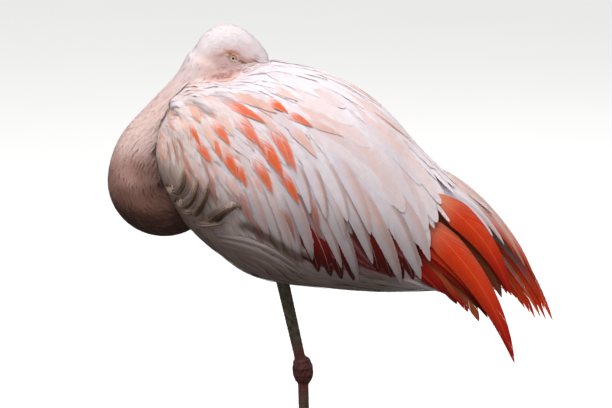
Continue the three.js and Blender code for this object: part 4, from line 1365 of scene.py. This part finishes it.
def greater_colour(t, b, luck):
    cool = each(0.35 + 0.3 * np.sin(np.arange(len(t)) * 1.7), t)
    warm = each(np.array([0.1, 0.45, 0.2, 0.5, 0.15, 0.4, 0.3]), t)
    ground = mix(WHITE, LILAC, np.clip(cool + 0.12 * (luck - 0.5), 0, 1))
    ground = mix(ground, SALMON, warm * step_between(0.9, 0.2, np.abs(b - 0.45)) * step_between(0.1, 0.5, t))
    # Beige on the lower front edge towards the tip: painted shade
    ground = mix(ground, BEIGE, 0.3 * step_between(0.45, 0.9, t) * step_between(0.3, 0.9, -b))
    # Pale edges: partly the feathers' own fringes, partly painted light against the shadows between vanes
    ground = mix(ground, WHITE, 0.35 * b * b)
    # Brown where a vane lies under its neighbour's edge: painted shadow
    covered = each(np.array([0.5, 0.2, 0.65, 0.3, 0.55, 0.15, 0.6]), t) * step_between(0.15, 0.4, t)
    return mix(ground, GAP_SHADOW_BROWN, covered * step_between(0.35, 0.75, b) * step_between(1.0, 0.85, t))


def scapular_colour(t, b, luck):
    cool = each(0.3 + 0.3 * np.sin(np.arange(len(t)) * 2.1), t)
    warm = each(np.array([0.1, 0.5, 0.25, 0.6, 0.35, 0.15, 0.55]), t)
    ground = mix(WHITE, LILAC, np.clip(cool + 0.1 * (luck - 0.5), 0, 1))
    ground = mix(ground, PINK, warm)
    inner = step_between(1.0, 0.3, np.abs(b + 0.35)) * step_between(0.8, 0.4, t)
    ground = mix(ground, SALMON, 0.5 * warm * inner)
    # Pale edges and tip: partly the feathers' own fringes, partly painted light against the shadows between
    # vanes
    return mix(ground, WHITE, 0.4 * b * b + 0.3 * step_between(0.8, 1, t))


def under_colour(t, b, luck):
    return mix(mix(RED, DARK_RED, np.clip(1.4 * t, 0, 1)), CORAL, 0.12 * luck)


def tuft_colour(t, b, luck):
    low = each(np.linspace(0, 1, len(FLANK_TUFT)), t)
    # Darker on the lower feathers and lower edges, paler on the top feathers' upper edges: painted shade and
    # painted light
    ground = mix(CREAM, BEIGE, np.clip(0.1 + 0.7 * low + 0.5 * step_between(0.3, -0.8, b) - 0.2 * t, 0, 1))
    return mix(ground, WHITE, 0.2 * luck + 0.4 * (1 - low) * step_between(0.2, 0.9, b))


def curl_colour(t, b, luck):
    """Strands of a lock, palest along its crest in painted light and darkest on the lowest strands in painted
    shade; the first strand is the lowest.
    """
    place = each(np.linspace(0, 1, STRANDS), t)
    uneven = each(0.5 + 0.5 * np.sin(np.arange(STRANDS) * 2.6), t)
    crest = step_between(0.0, 0.4, place) * step_between(-0.1, 0.25, t)
    # Painted shade on the lower strands, and painted light along the crest
    ground = mix(LOCK_PAINTED_SHADE, LOCK, crest)
    ground = mix(ground, CREAM, 0.75 * step_between(0.35, 0.75, place) * step_between(0.1, 0.45, t))
    ground = mix(ground, SALMON, 0.25 * uneven)
    return ground * (1.02 + 0.16 * luck - 0.26 * uneven)[..., None]


# Painted shade under a lock, a little lighter towards one edge
def shadow_bed_colour(t, b, luck):
    return mix(LOCK_PAINTED_SHADE, LOCK, 0.25 + 0.5 * step_between(-0.4, 0.8, b))


def lock_line(lay, path, side, stretch, shift, high):
    """Line along a lock's path, shifted across it and raised off the plumage."""
    rows = np.array([(k,) + point for k, point in enumerate(path)], float)
    place = np.linspace(0, 1, LOCK_JOINTS + 1) * (len(path) - 1) * stretch
    x, z, rise = row_at(rows, place)[:, 1:].T
    across = unit(np.stack([-np.gradient(z), np.gradient(x)], -1))
    x, z = x + across[:, 0] * shift, z + across[:, 1] * shift
    found, out = lay.nearest(body_point(x, body_angle(x, z, side)))
    return found + out * (rise + high)[:, None], out


def add_curls(lay):
    """Each lock is a rounded bundle of thin strands that draws together at its tip, over a plain bed, a dark
    sheet of painted shade that shows between the strands.
    """
    draw = np.random.default_rng(56)
    t = np.linspace(0, 1, LOCK_JOINTS + 1)
    for side, tag in SIDES:
        strands, half = [], []
        for path, widest in CURLS:
            for place in np.linspace(-1, 1, STRANDS):
                stretch, wander = draw.uniform(0.8, 1.0), draw.normal(0, (0.13, 0.5))
                high = (1 - place * place) * widest * 0.4 * np.sin(math.pi * t ** 0.7)
                high += 0.5 + wander[1] * t - 1.5 * (place < -0.6)
                shift = (place + wander[0]) * widest * (1 - 0.6 * t ** 1.5)
                strands.append(lock_line(lay, path, side, stretch, shift, high))
                half.append(draw.uniform(0.55, 0.95))
        shadow_beds = [lock_line(lay, path, side, 0.95, 0 * t, -0.6 - 0.6 * t) for path, _ in CURLS]
        spots, patch = patches(len(strands) + len(shadow_beds))
        coat = Coat(f"curled_feathers_{tag}", LOCK_FEATHER, "body_feathers", patch)
        start = 0
        for group, sizes, kind, painter in (
            (strands, half, "lock", curl_colour), (shadow_beds, [widest for _, widest in CURLS], "silk", shadow_bed_colour),
        ):
            lines, outs = (np.array(v) for v in zip(*group))
            outs = flatten(outs, unit(np.gradient(lines, axis=1)))
            coat.add(lines, outs, np.array(sizes), kind, painter, spots[start:start + len(group)], 57 + side)
            start += len(group)
        coat.make()


# ---------------------------------------------------------------- tail, flight feathers and plumes

# Root x, side, z, then tip x, side, z, half width, sag.
PADDLES_NEAR = [
    (88, 60, 408, 142, 54, 350, 12, 10), (92, 60, 410, 156, 52, 342, 12, 13),
    (96, 60, 412, 170, 50, 330, 12, 16), (100, 58, 418, 183, 47, 320, 12, 19),
    (104, 56, 424, 196, 44, 308, 12, 24),
]
PADDLE_TINTS = [
    (CORAL, RED, DARK_RED), (RUST, CORAL, RED), (CORAL, RED, DARK_RED), (CORAL, RUST, RED),
    (RUST, BROWN, RUST),
]
PLUMES_NEAR = [
    (94, 62, 426, 206, 44, 312, 15, 25), (98, 62, 434, 220, 45, 296, 16, 32),
    (108, 62, 446, 237, 46, 259, 18, 40), (112, 46, 440, 212, 34, 334, 19, 30),
    (118, 48, 446, 222, 36, 334, 20, 36), (124, 46, 454, 228, 34, 338, 17, 37),
    (132, 54, 462, 232, 40, 338, 17, 32),
]
# The fourth to sixth plumes lie under and between the others; their rust and brown are painted shade
PLUME_TINTS_NEAR = [
    (CORAL, RED, DARK_RED), (CORAL, CORAL, DARK_RED), (SALMON, CORAL, RED), (RUST, BROWN, DARK_RED),
    (RUST, BROWN, BROWN), (RUST, BROWN, RED), (SALMON, CORAL, RED),
]
PLUMES_FAR = [
    (90, 60, 410, 232, 46, 326, 10, 26), (94, 58, 418, 239, 45, 317, 10, 30),
    (98, 56, 424, 244, 44, 314, 9.5, 33), (100, 54, 432, 251, 43, 306, 9.5, 36),
    (106, 52, 444, 254, 41, 302, 9.5, 38), (108, 50, 448, 260, 40, 297, 9.5, 41),
    (112, 47, 456, 266, 38, 291, 9.5, 42), (114, 44, 460, 272, 36, 293, 9.5, 43),
    (118, 40, 466, 278, 33, 291, 9, 44), (120, 36, 470, 286, 31, 290, 9.5, 45),
    (122, 33, 472, 276, 30, 304, 9.5, 44), (124, 30, 474, 270, 28, 320, 9, 42),
]
# The far wing's plumes are painted lighter, in lit coral and salmon, than the near ones: painted light that
# makes up for the shade they lie in
PLUME_TINTS_FAR = [
    (CORAL, CORAL, RED), (LIT_CORAL, SALMON, CORAL), (CORAL, LIT_CORAL, CORAL), (LIT_CORAL, SALMON, LIT_CORAL),
    (LIT_CORAL, LIT_CORAL, CORAL), (SALMON, SALMON, LIT_CORAL), (CORAL, LIT_CORAL, CORAL), (SALMON, PINK, LIT_CORAL),
    (LIT_CORAL, LIT_CORAL, CORAL), (WHITE, PINK, CORAL), (WHITE, LILAC, CORAL), (WHITE, PINK, CORAL),
]
# Feathers over the ridge, which face up.
PLUMES_RIDGE = [
    (120, 8, 490, 264, -26, 342, 9, 42), (122, 14, 490, 252, -18, 358, 10, 38),
    (118, 20, 488, 240, -8, 374, 10, 34), (116, 26, 484, 226, 4, 389, 10, 30),
    (114, 32, 478, 212, 16, 402, 9, 26), (120, 2, 490, 254, -36, 352, 9, 42),
]
PLUME_TINTS_RIDGE = [
    (WHITE, PINK, CORAL), (WHITE, PINK, SALMON), (WHITE, PINK, CORAL), (WHITE, WHITE, PINK),
    (WHITE, LILAC, WHITE), (WHITE, PINK, CORAL),
]
TAIL = [
    (140, 0, 398, 232, 0, 336, 12, 4), (140, 9, 397, 229, 13, 336, 12, 4),
    (140, 18, 396, 221, 25, 336, 11, 4), (132, 26, 394, 208, 34, 338, 11, 4),
]
PRIMARIES = [
    (62, 56, 412, 196, 26, 342, 6, 8), (58, 56, 404, 184, 28, 336, 6, 8),
    (54, 56, 396, 170, 30, 332, 6, 8),
]
# White barbs under the wing's tip: the first and last wisp; between them they are spread evenly.
WISPS = [(88, 62, 368, 124, 54, 357, 2.4, 3), (132, 50, 350, 168, 44, 336, 2.2, 3)]
WISP_COUNT = 14
# The ways that the flats of free feathers face.
PLUME_FACE, FAR_FACE = np.array([0.25, 1, 0.35]), np.array([0.1, 1, -0.3])
RIDGE_FACE, TAIL_FACE = np.array([0.5, 0.45, 0.75]), np.array([0.5, 0, 0.85])


def free_lines(rows, side, face):
    """Centre lines of feathers that stand free of the body, on a sagging curve."""
    flip = np.array([1, -side, 1.0])
    root, tip = rows[:, None, 0:3] * flip, rows[:, None, 3:6] * flip
    chord = unit(tip - root)
    square = np.stack([-chord[..., 2], 0 * chord[..., 0], chord[..., 0]], -1)
    middle = (root + tip) / 2 + square * rows[:, None, 7:8]
    t = np.linspace(0, 1, FREE_JOINTS + 1)[:, None]
    lines = (1 - t) ** 2 * root + 2 * t * (1 - t) * middle + t ** 2 * tip
    out = np.broadcast_to(unit(face * flip), lines.shape)
    return lines, flatten(out, unit(np.gradient(lines, axis=1)))


def add_free(name, groups, side, material, slot, seed, face=PLUME_FACE):
    """Feathers that stand free of the body, in one piece."""
    return placed_coat(name, material, slot, groups, lambda rows: free_lines(rows, side, face), seed)


def plume_painter(tints):
    """Painter for plumes, each with its colours at the root, the middle and the tip."""
    def colour(t, b, luck):
        root, middle, tip = (per_vane(np.array(part), t) for part in zip(*tints))
        tint = mix(root + 0 * t[..., None], middle, step_between(0.0, 0.34, t))
        tint = mix(tint, tip, step_between(0.5, 0.95, t))
        tint = mix(tint, DARK_RED, 0.3 * step_between(0.0, 0.8, -b) * step_between(0.2, 0.6, t))
        tint = mix(tint, SALMON, 0.28 * luck * step_between(0.2, 0.9, b) * step_between(0.75, 0.3, t))
        return tint * (1.04 - 0.16 * np.abs(b) + 0.1 * (luck - 0.5))[..., None]
    return same(colour)


def tail_colour(t, b, luck):
    return mix(WHITE, SALMON, 0.4 * t)


def black_colour(t, b, luck):
    return mix(BLACK, BLACK * 1.6, np.abs(b))


def wisp_colour(t, b, luck):
    return mix(WHITE, SALMON, 0.5 * luck)


def add_long_feathers():
    """Plumes, black flight feathers and wisps of each wing, the plumes over the ridge, and the tail."""
    first, last = np.array(WISPS, float)
    share = np.linspace(0, 1, WISP_COUNT)[:, None]
    wisps = [(first * (1 - share) + last * share, "wisp", same(wisp_colour))]
    paddles = (PADDLES_NEAR, "paddle", plume_painter(PADDLE_TINTS))
    near = [paddles, (PLUMES_NEAR, "plume", plume_painter(PLUME_TINTS_NEAR))]
    far = [paddles, (PLUMES_FAR, "strand", plume_painter(PLUME_TINTS_FAR))]
    for (side, tag), face, plumes in zip(SIDES, (PLUME_FACE, FAR_FACE), (near, far)):
        piece = add_free(f"plume_vanes_{tag}", plumes, side, PLUME, "coral_feathers", 60 + side, face)
        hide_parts(f"plumes_{tag}")
        piece = add_free(f"primary_vanes_{tag}", [(PRIMARIES, "long", same(black_colour))], side,
                         BLACK_FEATHER, "black_feathers", 70 + side)
        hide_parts(f"primaries_{tag}")
        add_free(f"wisps_{tag}", wisps, side, FEATHER, "body_feathers", 90 + side)
    ridge = [(PLUMES_RIDGE, "paddle", plume_painter(PLUME_TINTS_RIDGE))]
    add_free("plume_vanes_ridge", ridge, LEFT, PLUME, "coral_feathers", 65, RIDGE_FACE)
    rows = TAIL + [(a, -b, c, d, -e, f, g, h) for a, b, c, d, e, f, g, h in TAIL[1:]]
    tail = [(rows, "long", same(tail_colour))]
    piece = add_free("tail_vanes", tail, LEFT, FEATHER, "body_feathers", 80, TAIL_FACE)
    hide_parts("tail")


# ---------------------------------------------------------------- eyes

# The eyeball's dark pupil, pale iris and rim, as distances from its middle where one turns into the next.
PUPIL_EDGE, IRIS_DARKENS, IRIS_RIM = (1.35, 1.6), (2.0, 3.4), (3.3, 4.0)
IRIS_RAYS = 23
# The lids: how far they reach out under the feathers, and how high, how wide and how sunk they are.
LID_REACH, LID_RISE, LID_FLAT, LID_SINK = 6.4, 0.55, 0.86, 2.6
LID_SIDES, LID_RINGS = 72, 16


def eye_place(side):
    return np.array([EYE["x"], HEAD_SIDE + side * EYE["from_middle"], EYE["z"]])


def eye_material(name):
    look = Look(name, 0.08, Coat_Weight=1.0, Coat_Roughness=0.03)
    look.colour(look.spread(look.noise(1600, 3), 0.92, 1.08))
    return look.material


def add_eye(side, name, node):
    """Eyeball with a pale iris and a small pupil; it looks out along the side axis."""
    turn = np.concatenate([np.linspace(0.001, 0.62, 30), np.linspace(0.68, math.pi - 0.001, 22)])
    radius, along = (EYE["radius"] * f(turn)[:, None] for f in (np.sin, np.cos))
    angle = circle(64)
    rings = np.broadcast_arrays(radius * np.cos(angle), along, radius * np.sin(angle))
    piece = tube_mesh(name, np.stack(rings, -1))
    points = points_of(piece.data)
    out = np.hypot(points[:, 0], points[:, 2])
    rays = np.sin(np.arctan2(points[:, 2], points[:, 0]) * IRIS_RAYS)
    iris = mix(IRIS, IRIS_EDGE, step_between(*IRIS_DARKENS, out))
    iris = iris * (1 + 0.08 * rays * step_between(1.4, 2.4, out))[:, None]
    tint = mix(PUPIL, iris, step_between(*PUPIL_EDGE, out))
    tint = mix(tint, EYE_RIM, step_between(*IRIS_RIM, out))
    tint[points[:, 1] <= 0] = EYE_BACK
    put_points(piece.data, points * [1, side, 1] + eye_place(side))
    if side < 0:
        piece.data.flip_normals()
    shade_smooth(piece.data)
    dress(piece, tint, eye_material(name))
    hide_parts(node)


def add_lids(side, name):
    """Ring of bare skin from the rim of the eye's opening out under the feathers."""
    angle = circle(LID_SIDES)
    t = np.linspace(0, 1, LID_RINGS)[:, None]
    opening = EYE["opening"] * (1 + 0.16 * np.cos(2 * angle))
    reach = opening + (LID_REACH + 1.0 * np.cos(angle) - opening) * t ** 0.9
    on_ball = np.sqrt(np.maximum(EYE["radius"] ** 2 - opening ** 2, 0))
    rise = LID_RISE * np.sin(np.minimum(t * 3.2, math.pi))
    sink = np.maximum(0, t - 0.35) ** 1.4 * LID_SINK
    wrinkles = 0.12 * np.sin(t * 40) * step_between(0.15, 0.5, t)
    brow = 0.35 * (np.sin(angle) > 0) * np.sin(angle) * (1 - t)
    depth = on_ball + 0.25 + rise - sink + wrinkles + brow
    grid = np.stack(np.broadcast_arrays(reach * np.cos(angle), depth, reach * np.sin(angle) * LID_FLAT), -1)
    inner = grid[0] * [0.97, 1, 0.97] - [0, 1.6, 0]
    under = grid[-1] * [1, 0, 1] + [0, on_ball.min() - 5, 0]
    grid = np.concatenate([inner[None], grid, under[None]])
    points = grid.reshape(-1, 3)
    out = np.hypot(points[:, 0], points[:, 2])
    tint = mix(LID_RIM, LID, step_between(3.2, 4.4, out))
    tint = mix(tint, CHEEK, step_between(4.2, 6.0, out))
    # Dark brown on the upper lid next to the opening: painted shadow
    tint = mix(tint, DARK_BROW, 0.8 * step_between(0.3, 3, points[:, 2]) * step_between(5.6, 3.4, out))
    corner = np.hypot(points[:, 0] - 4.2, points[:, 2] + 1.2)
    tint = mix(tint, LID_CORNER, 0.9 * step_between(1.5, 0.7, corner))
    quads = ring_quads(len(grid), LID_SIDES)
    piece = mesh_object(name, points * [1, side, 1] + eye_place(side), quads if side > 0 else quads[:, ::-1])
    dress(piece, tint, SKIN)


# ---------------------------------------------------------------- bill

BILL_RINGS, BILL_SIDES = 48, 36


def add_bill_half(name, rows, node):
    """Half of the bill: pale at the base, then pink, with a black tip."""
    t = np.linspace(0, 1, BILL_RINGS)
    numbered = np.column_stack([np.arange(len(rows)), rows])
    row = row_at(numbered, t * (len(rows) - 1))[:, 1:]
    tangent = unit(np.gradient(row[:, :2], axis=0))
    up = np.stack([-tangent[:, 1], tangent[:, 0]], -1)
    high = np.cos(circle(BILL_SIDES)) * row[:, 2:3]
    x = row[:, 0:1] + up[:, 0:1] * high
    z = row[:, 1:2] + up[:, 1:2] * high
    y = HEAD_SIDE + np.sin(circle(BILL_SIDES)) * row[:, 3:4]
    piece = tube_mesh(name, np.stack([x, y, z], -1))
    points = points_of(piece.data)
    gone = np.append(np.repeat(t, BILL_SIDES), [0, 1])
    tint = mix(HORN_PALE, HORN_PINK, step_between(0.2, 0.45, gone))
    tint = mix(tint, HORN_BLACK, step_between(0.47, 0.53, gone + 0.01 * soft_noise(points, 9, 9)))
    shade_smooth(piece.data)
    dress(piece, tint, BILL)
    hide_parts(node)


# ---------------------------------------------------------------- legs

STANDING = {"knee": (-34, -24, 372), "ankle": (-6, -7, 241), "heel": (0, 0, 13)}
FOLDED = {"knee": (88, 36, 420), "ankle": (150, 34, 347), "heel": (-68, 40, 369)}
# Radii of the bars that fill the joints.
HEEL_JOINT, HIND_TOE_JOINT, TARSUS_JOINT, TIBIA_JOINT = 5.2, 2.7, 5.4, 6.2
JOINT_REACH = 26  # of the bars of the ankle, along both bones
VOXEL_LEG = 0.85
KNOB_REACH = 19  # along both bones from the ankle's middle, where the ankle's skin ends
CLAW_SUNK, CLAW_HALF, CLAW_DROOP, CLAW_FLAT = 2.2, 2.2, 0.7, 0.62  # sunk: the root's length in its toe
CLAW_RINGS, CLAW_SIDES = 14, 16


def bar(start, end, radius):
    """Plain round bar that fills a joint before the skin is made."""
    start, end = np.asarray(start, float), np.asarray(end, float)
    way = unit(end - start)
    across = unit(np.cross(way, [0, 1, 0]))
    angle = circle(12)[:, None]
    ring = radius * (np.cos(angle) * across + np.sin(angle) * np.cross(way, across))
    return tube_mesh("bar", [start + ring, (start + end) / 2 + ring, end + ring])


def toe_joint(node, leg):
    """Bar from the hind toe's root into the leg's end."""
    points = points_of(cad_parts[node].data)
    heel, up = np.array(leg["heel"], float), unit(np.subtract(leg["ankle"], leg["heel"]))
    centre = points.mean(0)
    high = (points - heel) @ up
    away = np.linalg.norm(points - heel - np.outer(high, up), axis=1)
    root = points[away < np.median(away)].mean(0)
    inside = heel + up * ((root - heel) @ up + 1.5)
    return bar(centre, inside, HIND_TOE_JOINT)


def softened(name, nodes, fillers):
    """One even skin over copies of CAD nodes and the bars that fill their joints."""
    copies = [linked(node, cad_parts[node].data.copy()) for node in nodes]
    return remeshed(joined(name, fillers + copies), VOXEL_LEG, 10)


def scutes(points, start, end, length, depth):
    """Height of broad plates stacked along a bone."""
    phase = ((points - start) @ unit(end - start) / length) % 1
    plate = np.minimum(phase, 1 - phase) * 2
    return depth * (np.minimum(plate * 2.2, 1) - 1)


def split_quads(piece, chosen, names):
    """Two pieces out of a mesh of quads, the chosen vertices' and the rest, with their old numbers."""
    points = points_of(piece.data)
    faces = corners_of(piece.data).reshape(-1, 4)
    delete(piece)
    inside = chosen[faces].all(1)
    pieces = []
    for name, part in zip(names, (faces[inside], faces[~inside])):
        used, renumbered = np.unique(part, return_inverse=True)
        pieces.append((mesh_object(name, points[used], renumbered.reshape(-1, 4)), used))
    return pieces


def add_leg(leg, tag):
    """One even skin over a leg, of which the ankle's part is a piece of its own."""
    knee, ankle, heel = (np.array(leg[name], float) for name in ("knee", "ankle", "heel"))
    up, above = unit(ankle - heel), unit(knee - ankle)
    fillers = [
        bar(heel - 6 * up, heel + 12 * up, HEEL_JOINT), toe_joint(f"hind_toe_{tag}", leg),
        bar(ankle - JOINT_REACH * up, ankle, TARSUS_JOINT),
        bar(ankle, ankle + JOINT_REACH * above, TIBIA_JOINT),
    ]
    nodes = [f"{part}_{tag}" for part in ("ankle", "tibia", "tarsus", "foot", "hind_toe")]
    whole = softened("leg", nodes, fillers)
    points, normals = points_of(whole.data), normals_of(whole.data)
    reach = np.maximum((points - ankle) @ -up, (points - ankle) @ above)
    on_ankle = step_between(21, 13, reach + 2 * soft_noise(points, 5, 11))
    on_foot = step_between(26, 12, (points - heel) @ up + 6 * soft_noise(points, 7, 12))
    lower = (points - ankle) @ up < 0
    height = np.where(lower, scutes(points, ankle, heel, 3.6, 0.3), scutes(points, knee, ankle, 4.4, 0.28))
    height += on_foot * (0.15 * soft_noise(points, 2.4, 12) - height)
    height += 0.1 * soft_noise(points, 3.0, 13)
    knobs = 0.4 * soft_noise(points, 8, 16) + 0.3 * np.abs(soft_noise(points, 3.4, 17))
    height += on_ankle * (knobs - height)
    height[points[:, 2] < 0.6] = 0
    points += normals * height[:, None]
    points[:, 2] = np.maximum(points[:, 2], 0)
    put_points(whole.data, points)
    tint = mix(LEG_GREY, LEG_OLIVE, step_between(-0.5, 0.7, soft_noise(points, 14, 14)))
    tint = mix(tint, LEG_DARK, 0.7 * step_between(0.2, 0.9, soft_noise(points, 6, 15)))
    tint = mix(tint, LEG_ROSE, 0.8 * step_between(44, 18, reach))
    tint = mix(tint, FOOT_ROSE, 0.62 * on_foot)
    blotched = mix(KNOB_RED, KNOB_DARK, step_between(-0.3, 0.7, soft_noise(points, 5, 18)))
    tint = mix(tint, blotched, on_ankle)
    joint, shanks = split_quads(whole, reach < KNOB_REACH, (f"ankle_skin_{tag}", f"leg_skin_{tag}"))
    for (piece, used), slot, replaced in (
        (joint, "ankle_skin", nodes[:1]), (shanks, "leg_skin", nodes[1:]),
    ):
        dress(piece, tint[used], LEG)
        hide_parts(*replaced)


def claw_in_place(node):
    """A curved claw on the line of the solid's plain one, thick end first."""
    points = points_of(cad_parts[node].data)
    centre = points.mean(0)
    _, _, (way, wide, _) = np.linalg.svd(points - centre)
    reach = (points - centre) @ way
    first, last = points[reach < np.median(reach)], points[reach > np.median(reach)]
    if np.ptp(first @ wide) < np.ptp(last @ wide):
        way, reach = -way, -reach
    across = unit(np.cross(way, [0, 0, 1.0]))
    up = np.cross(across, way)
    t = np.linspace(0, 1, CLAW_RINGS)
    root = centre + way * (reach.min() - CLAW_SUNK)
    size = np.ptp(reach) + CLAW_SUNK
    line = root + np.outer(t * size, way) - np.outer(t ** 2 * CLAW_DROOP - 0.15, up)
    half = CLAW_HALF * (1 - t) ** 0.6 + 0.25
    angle = circle(CLAW_SIDES)[None, :, None]
    ring = np.cos(angle) * up * CLAW_FLAT + np.sin(angle) * across
    return tube_mesh("claw", line[:, None] + ring * half[:, None, None])


def add_claws():
    nodes = [f"claw_{toe}_{tag}" for _, tag in SIDES for toe in ("inner", "middle", "outer")]
    piece = joined("claws", [claw_in_place(node) for node in nodes])
    shade_smooth(piece.data)
    dark = step_between(-0.6, 0.6, soft_noise(points_of(piece.data), 5, 19))
    dress(piece, mix(CLAW_BROWN, CLAW_BLACK, dark), HORN)
    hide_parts(*nodes)


# ---------------------------------------------------------------- stage, lights and camera

AIM = Vector((-2.3, 0, 436.2)) * MM  # what the camera looks at
DISTANCE, ELEVATION, LENS, FURTHEST = 4.0, 12, 204.6, 60
LAMP_AIM = Vector((0, 0, 0.45))
KEY = dict(place=(-0.5, -1.3, 3.1), size=2.0, power=74, colour=(1, 0.99, 0.97))
BACK = dict(place=(0.9, 1.9, 2.2), size=1.4, power=16, colour=(1, 1, 1))
SKY, SKY_STRENGTH = (1, 0.99, 0.985, 1), 0.48
FLOOR_HALF = 9  # metres
FLOOR_SEEN, FLOOR_LIT = (0.87, 0.89), 0.12  # shades for the camera, and for the light that it throws back
FLOOR_GLOW = 0.34  # evens the backdrop, for the camera only


def add_camera():
    rise = math.radians(ELEVATION)
    camera = linked("camera", bpy.data.cameras.new("camera"))
    camera.location = AIM + DISTANCE * Vector((0, -math.cos(rise), math.sin(rise)))
    camera.rotation_euler = (AIM - camera.location).to_track_quat("-Z", "Y").to_euler()
    camera.data.lens = LENS
    camera.data.clip_end = FURTHEST
    bpy.context.scene.camera = camera


def add_stage():
    corners = np.array([[-1, -1, 0], [1, -1, 0], [1, 1, 0], [-1, 1, 0]]) * FLOOR_HALF / MM
    floor = mesh_object("floor", corners, [[0, 1, 2, 3]], False)
    look = Look("floor", 0.9, Emission_Color=(1, 1, 1, 1))
    seen = look.node("LightPath").outputs["Is Camera Ray"]
    shade = look.spread(look.noise(3, 4), *FLOOR_SEEN)
    plain = look.node("MapRange", {"Value": seen, "To Max": shade}, To_Min=FLOOR_LIT)
    look.link(plain.outputs["Result"], look.inputs["Base Color"])
    glow = look.node("Math", {0: seen})
    glow.operation = "MULTIPLY"
    glow.inputs[1].default_value = FLOOR_GLOW
    look.link(glow.outputs["Value"], look.inputs["Emission Strength"])
    floor.data.materials.append(look.material)


def add_light(name, place, size, power, colour):
    lamp = bpy.data.lights.new(name, "AREA")
    lamp.shape = "SQUARE"
    lamp.size = size
    lamp.energy = power
    lamp.color = colour
    holder = linked(name, lamp)
    holder.location = place
    holder.rotation_euler = (LAMP_AIM - holder.location).to_track_quat("-Z", "Y").to_euler()


def add_lights():
    world = bpy.data.worlds.new("studio")
    bpy.context.scene.world = world
    world.use_nodes = True
    sky = world.node_tree.nodes["Background"].inputs
    sky["Color"].default_value = SKY
    sky["Strength"].default_value = SKY_STRENGTH
    add_light("key", **KEY)
    add_light("back", **BACK)


# ---------------------------------------------------------------- the whole scene

add_camera()
bpy.context.scene.view_settings.view_transform = "Standard"
add_stage()
add_lights()
lay = Lay()
add_skin(lay)
add_neck_coat(lay)
add_head_coat(lay)
add_body_coat(lay)
add_placed(lay, "wing_coverts", [
    (UNDER_COVERTS, "long", same(under_colour)),
    (GREATER_COVERTS, "long", same(greater_colour)),
    (SALMON_COVERTS, "flush", flushed(SALMON, 0.5, 0.12)),
    (STREAK_COVERTS, "flush", flushed(RUST, 0.75, 0.12)),
    (BACK_STREAKS, "flush", flushed(SALMON, 0.9, 0.12)),
    (RUST_COVERTS, "flush", flushed(RUST, 0.8, 0.2)),
    (ORANGE_COVERTS, "flush", flushed(ORANGE, 1.0, 0.18)),
], 50)
add_placed(lay, "scapulars", [
    (TERTIAL_BASES, "broad", same(scapular_colour)),
    (SCAPULARS, "broad", same(scapular_colour)),
], 52)
add_placed(lay, "flank_tuft", [(FLANK_TUFT, "silk", same(tuft_colour))], 54)
add_curls(lay)
add_long_feathers()
add_eye(-1, "eyeball_right", "eye_right")
add_eye(1, "eyeball_left", "eye_left")
add_lids(-1, "lids_right")
add_lids(1, "lids_left")
add_bill_half("bill_horn_upper", BILL_UPPER, "bill_upper")
add_bill_half("bill_horn_lower", BILL_LOWER, "bill_lower")
add_leg(STANDING, "left")
add_leg(FOLDED, "right")
add_claws()
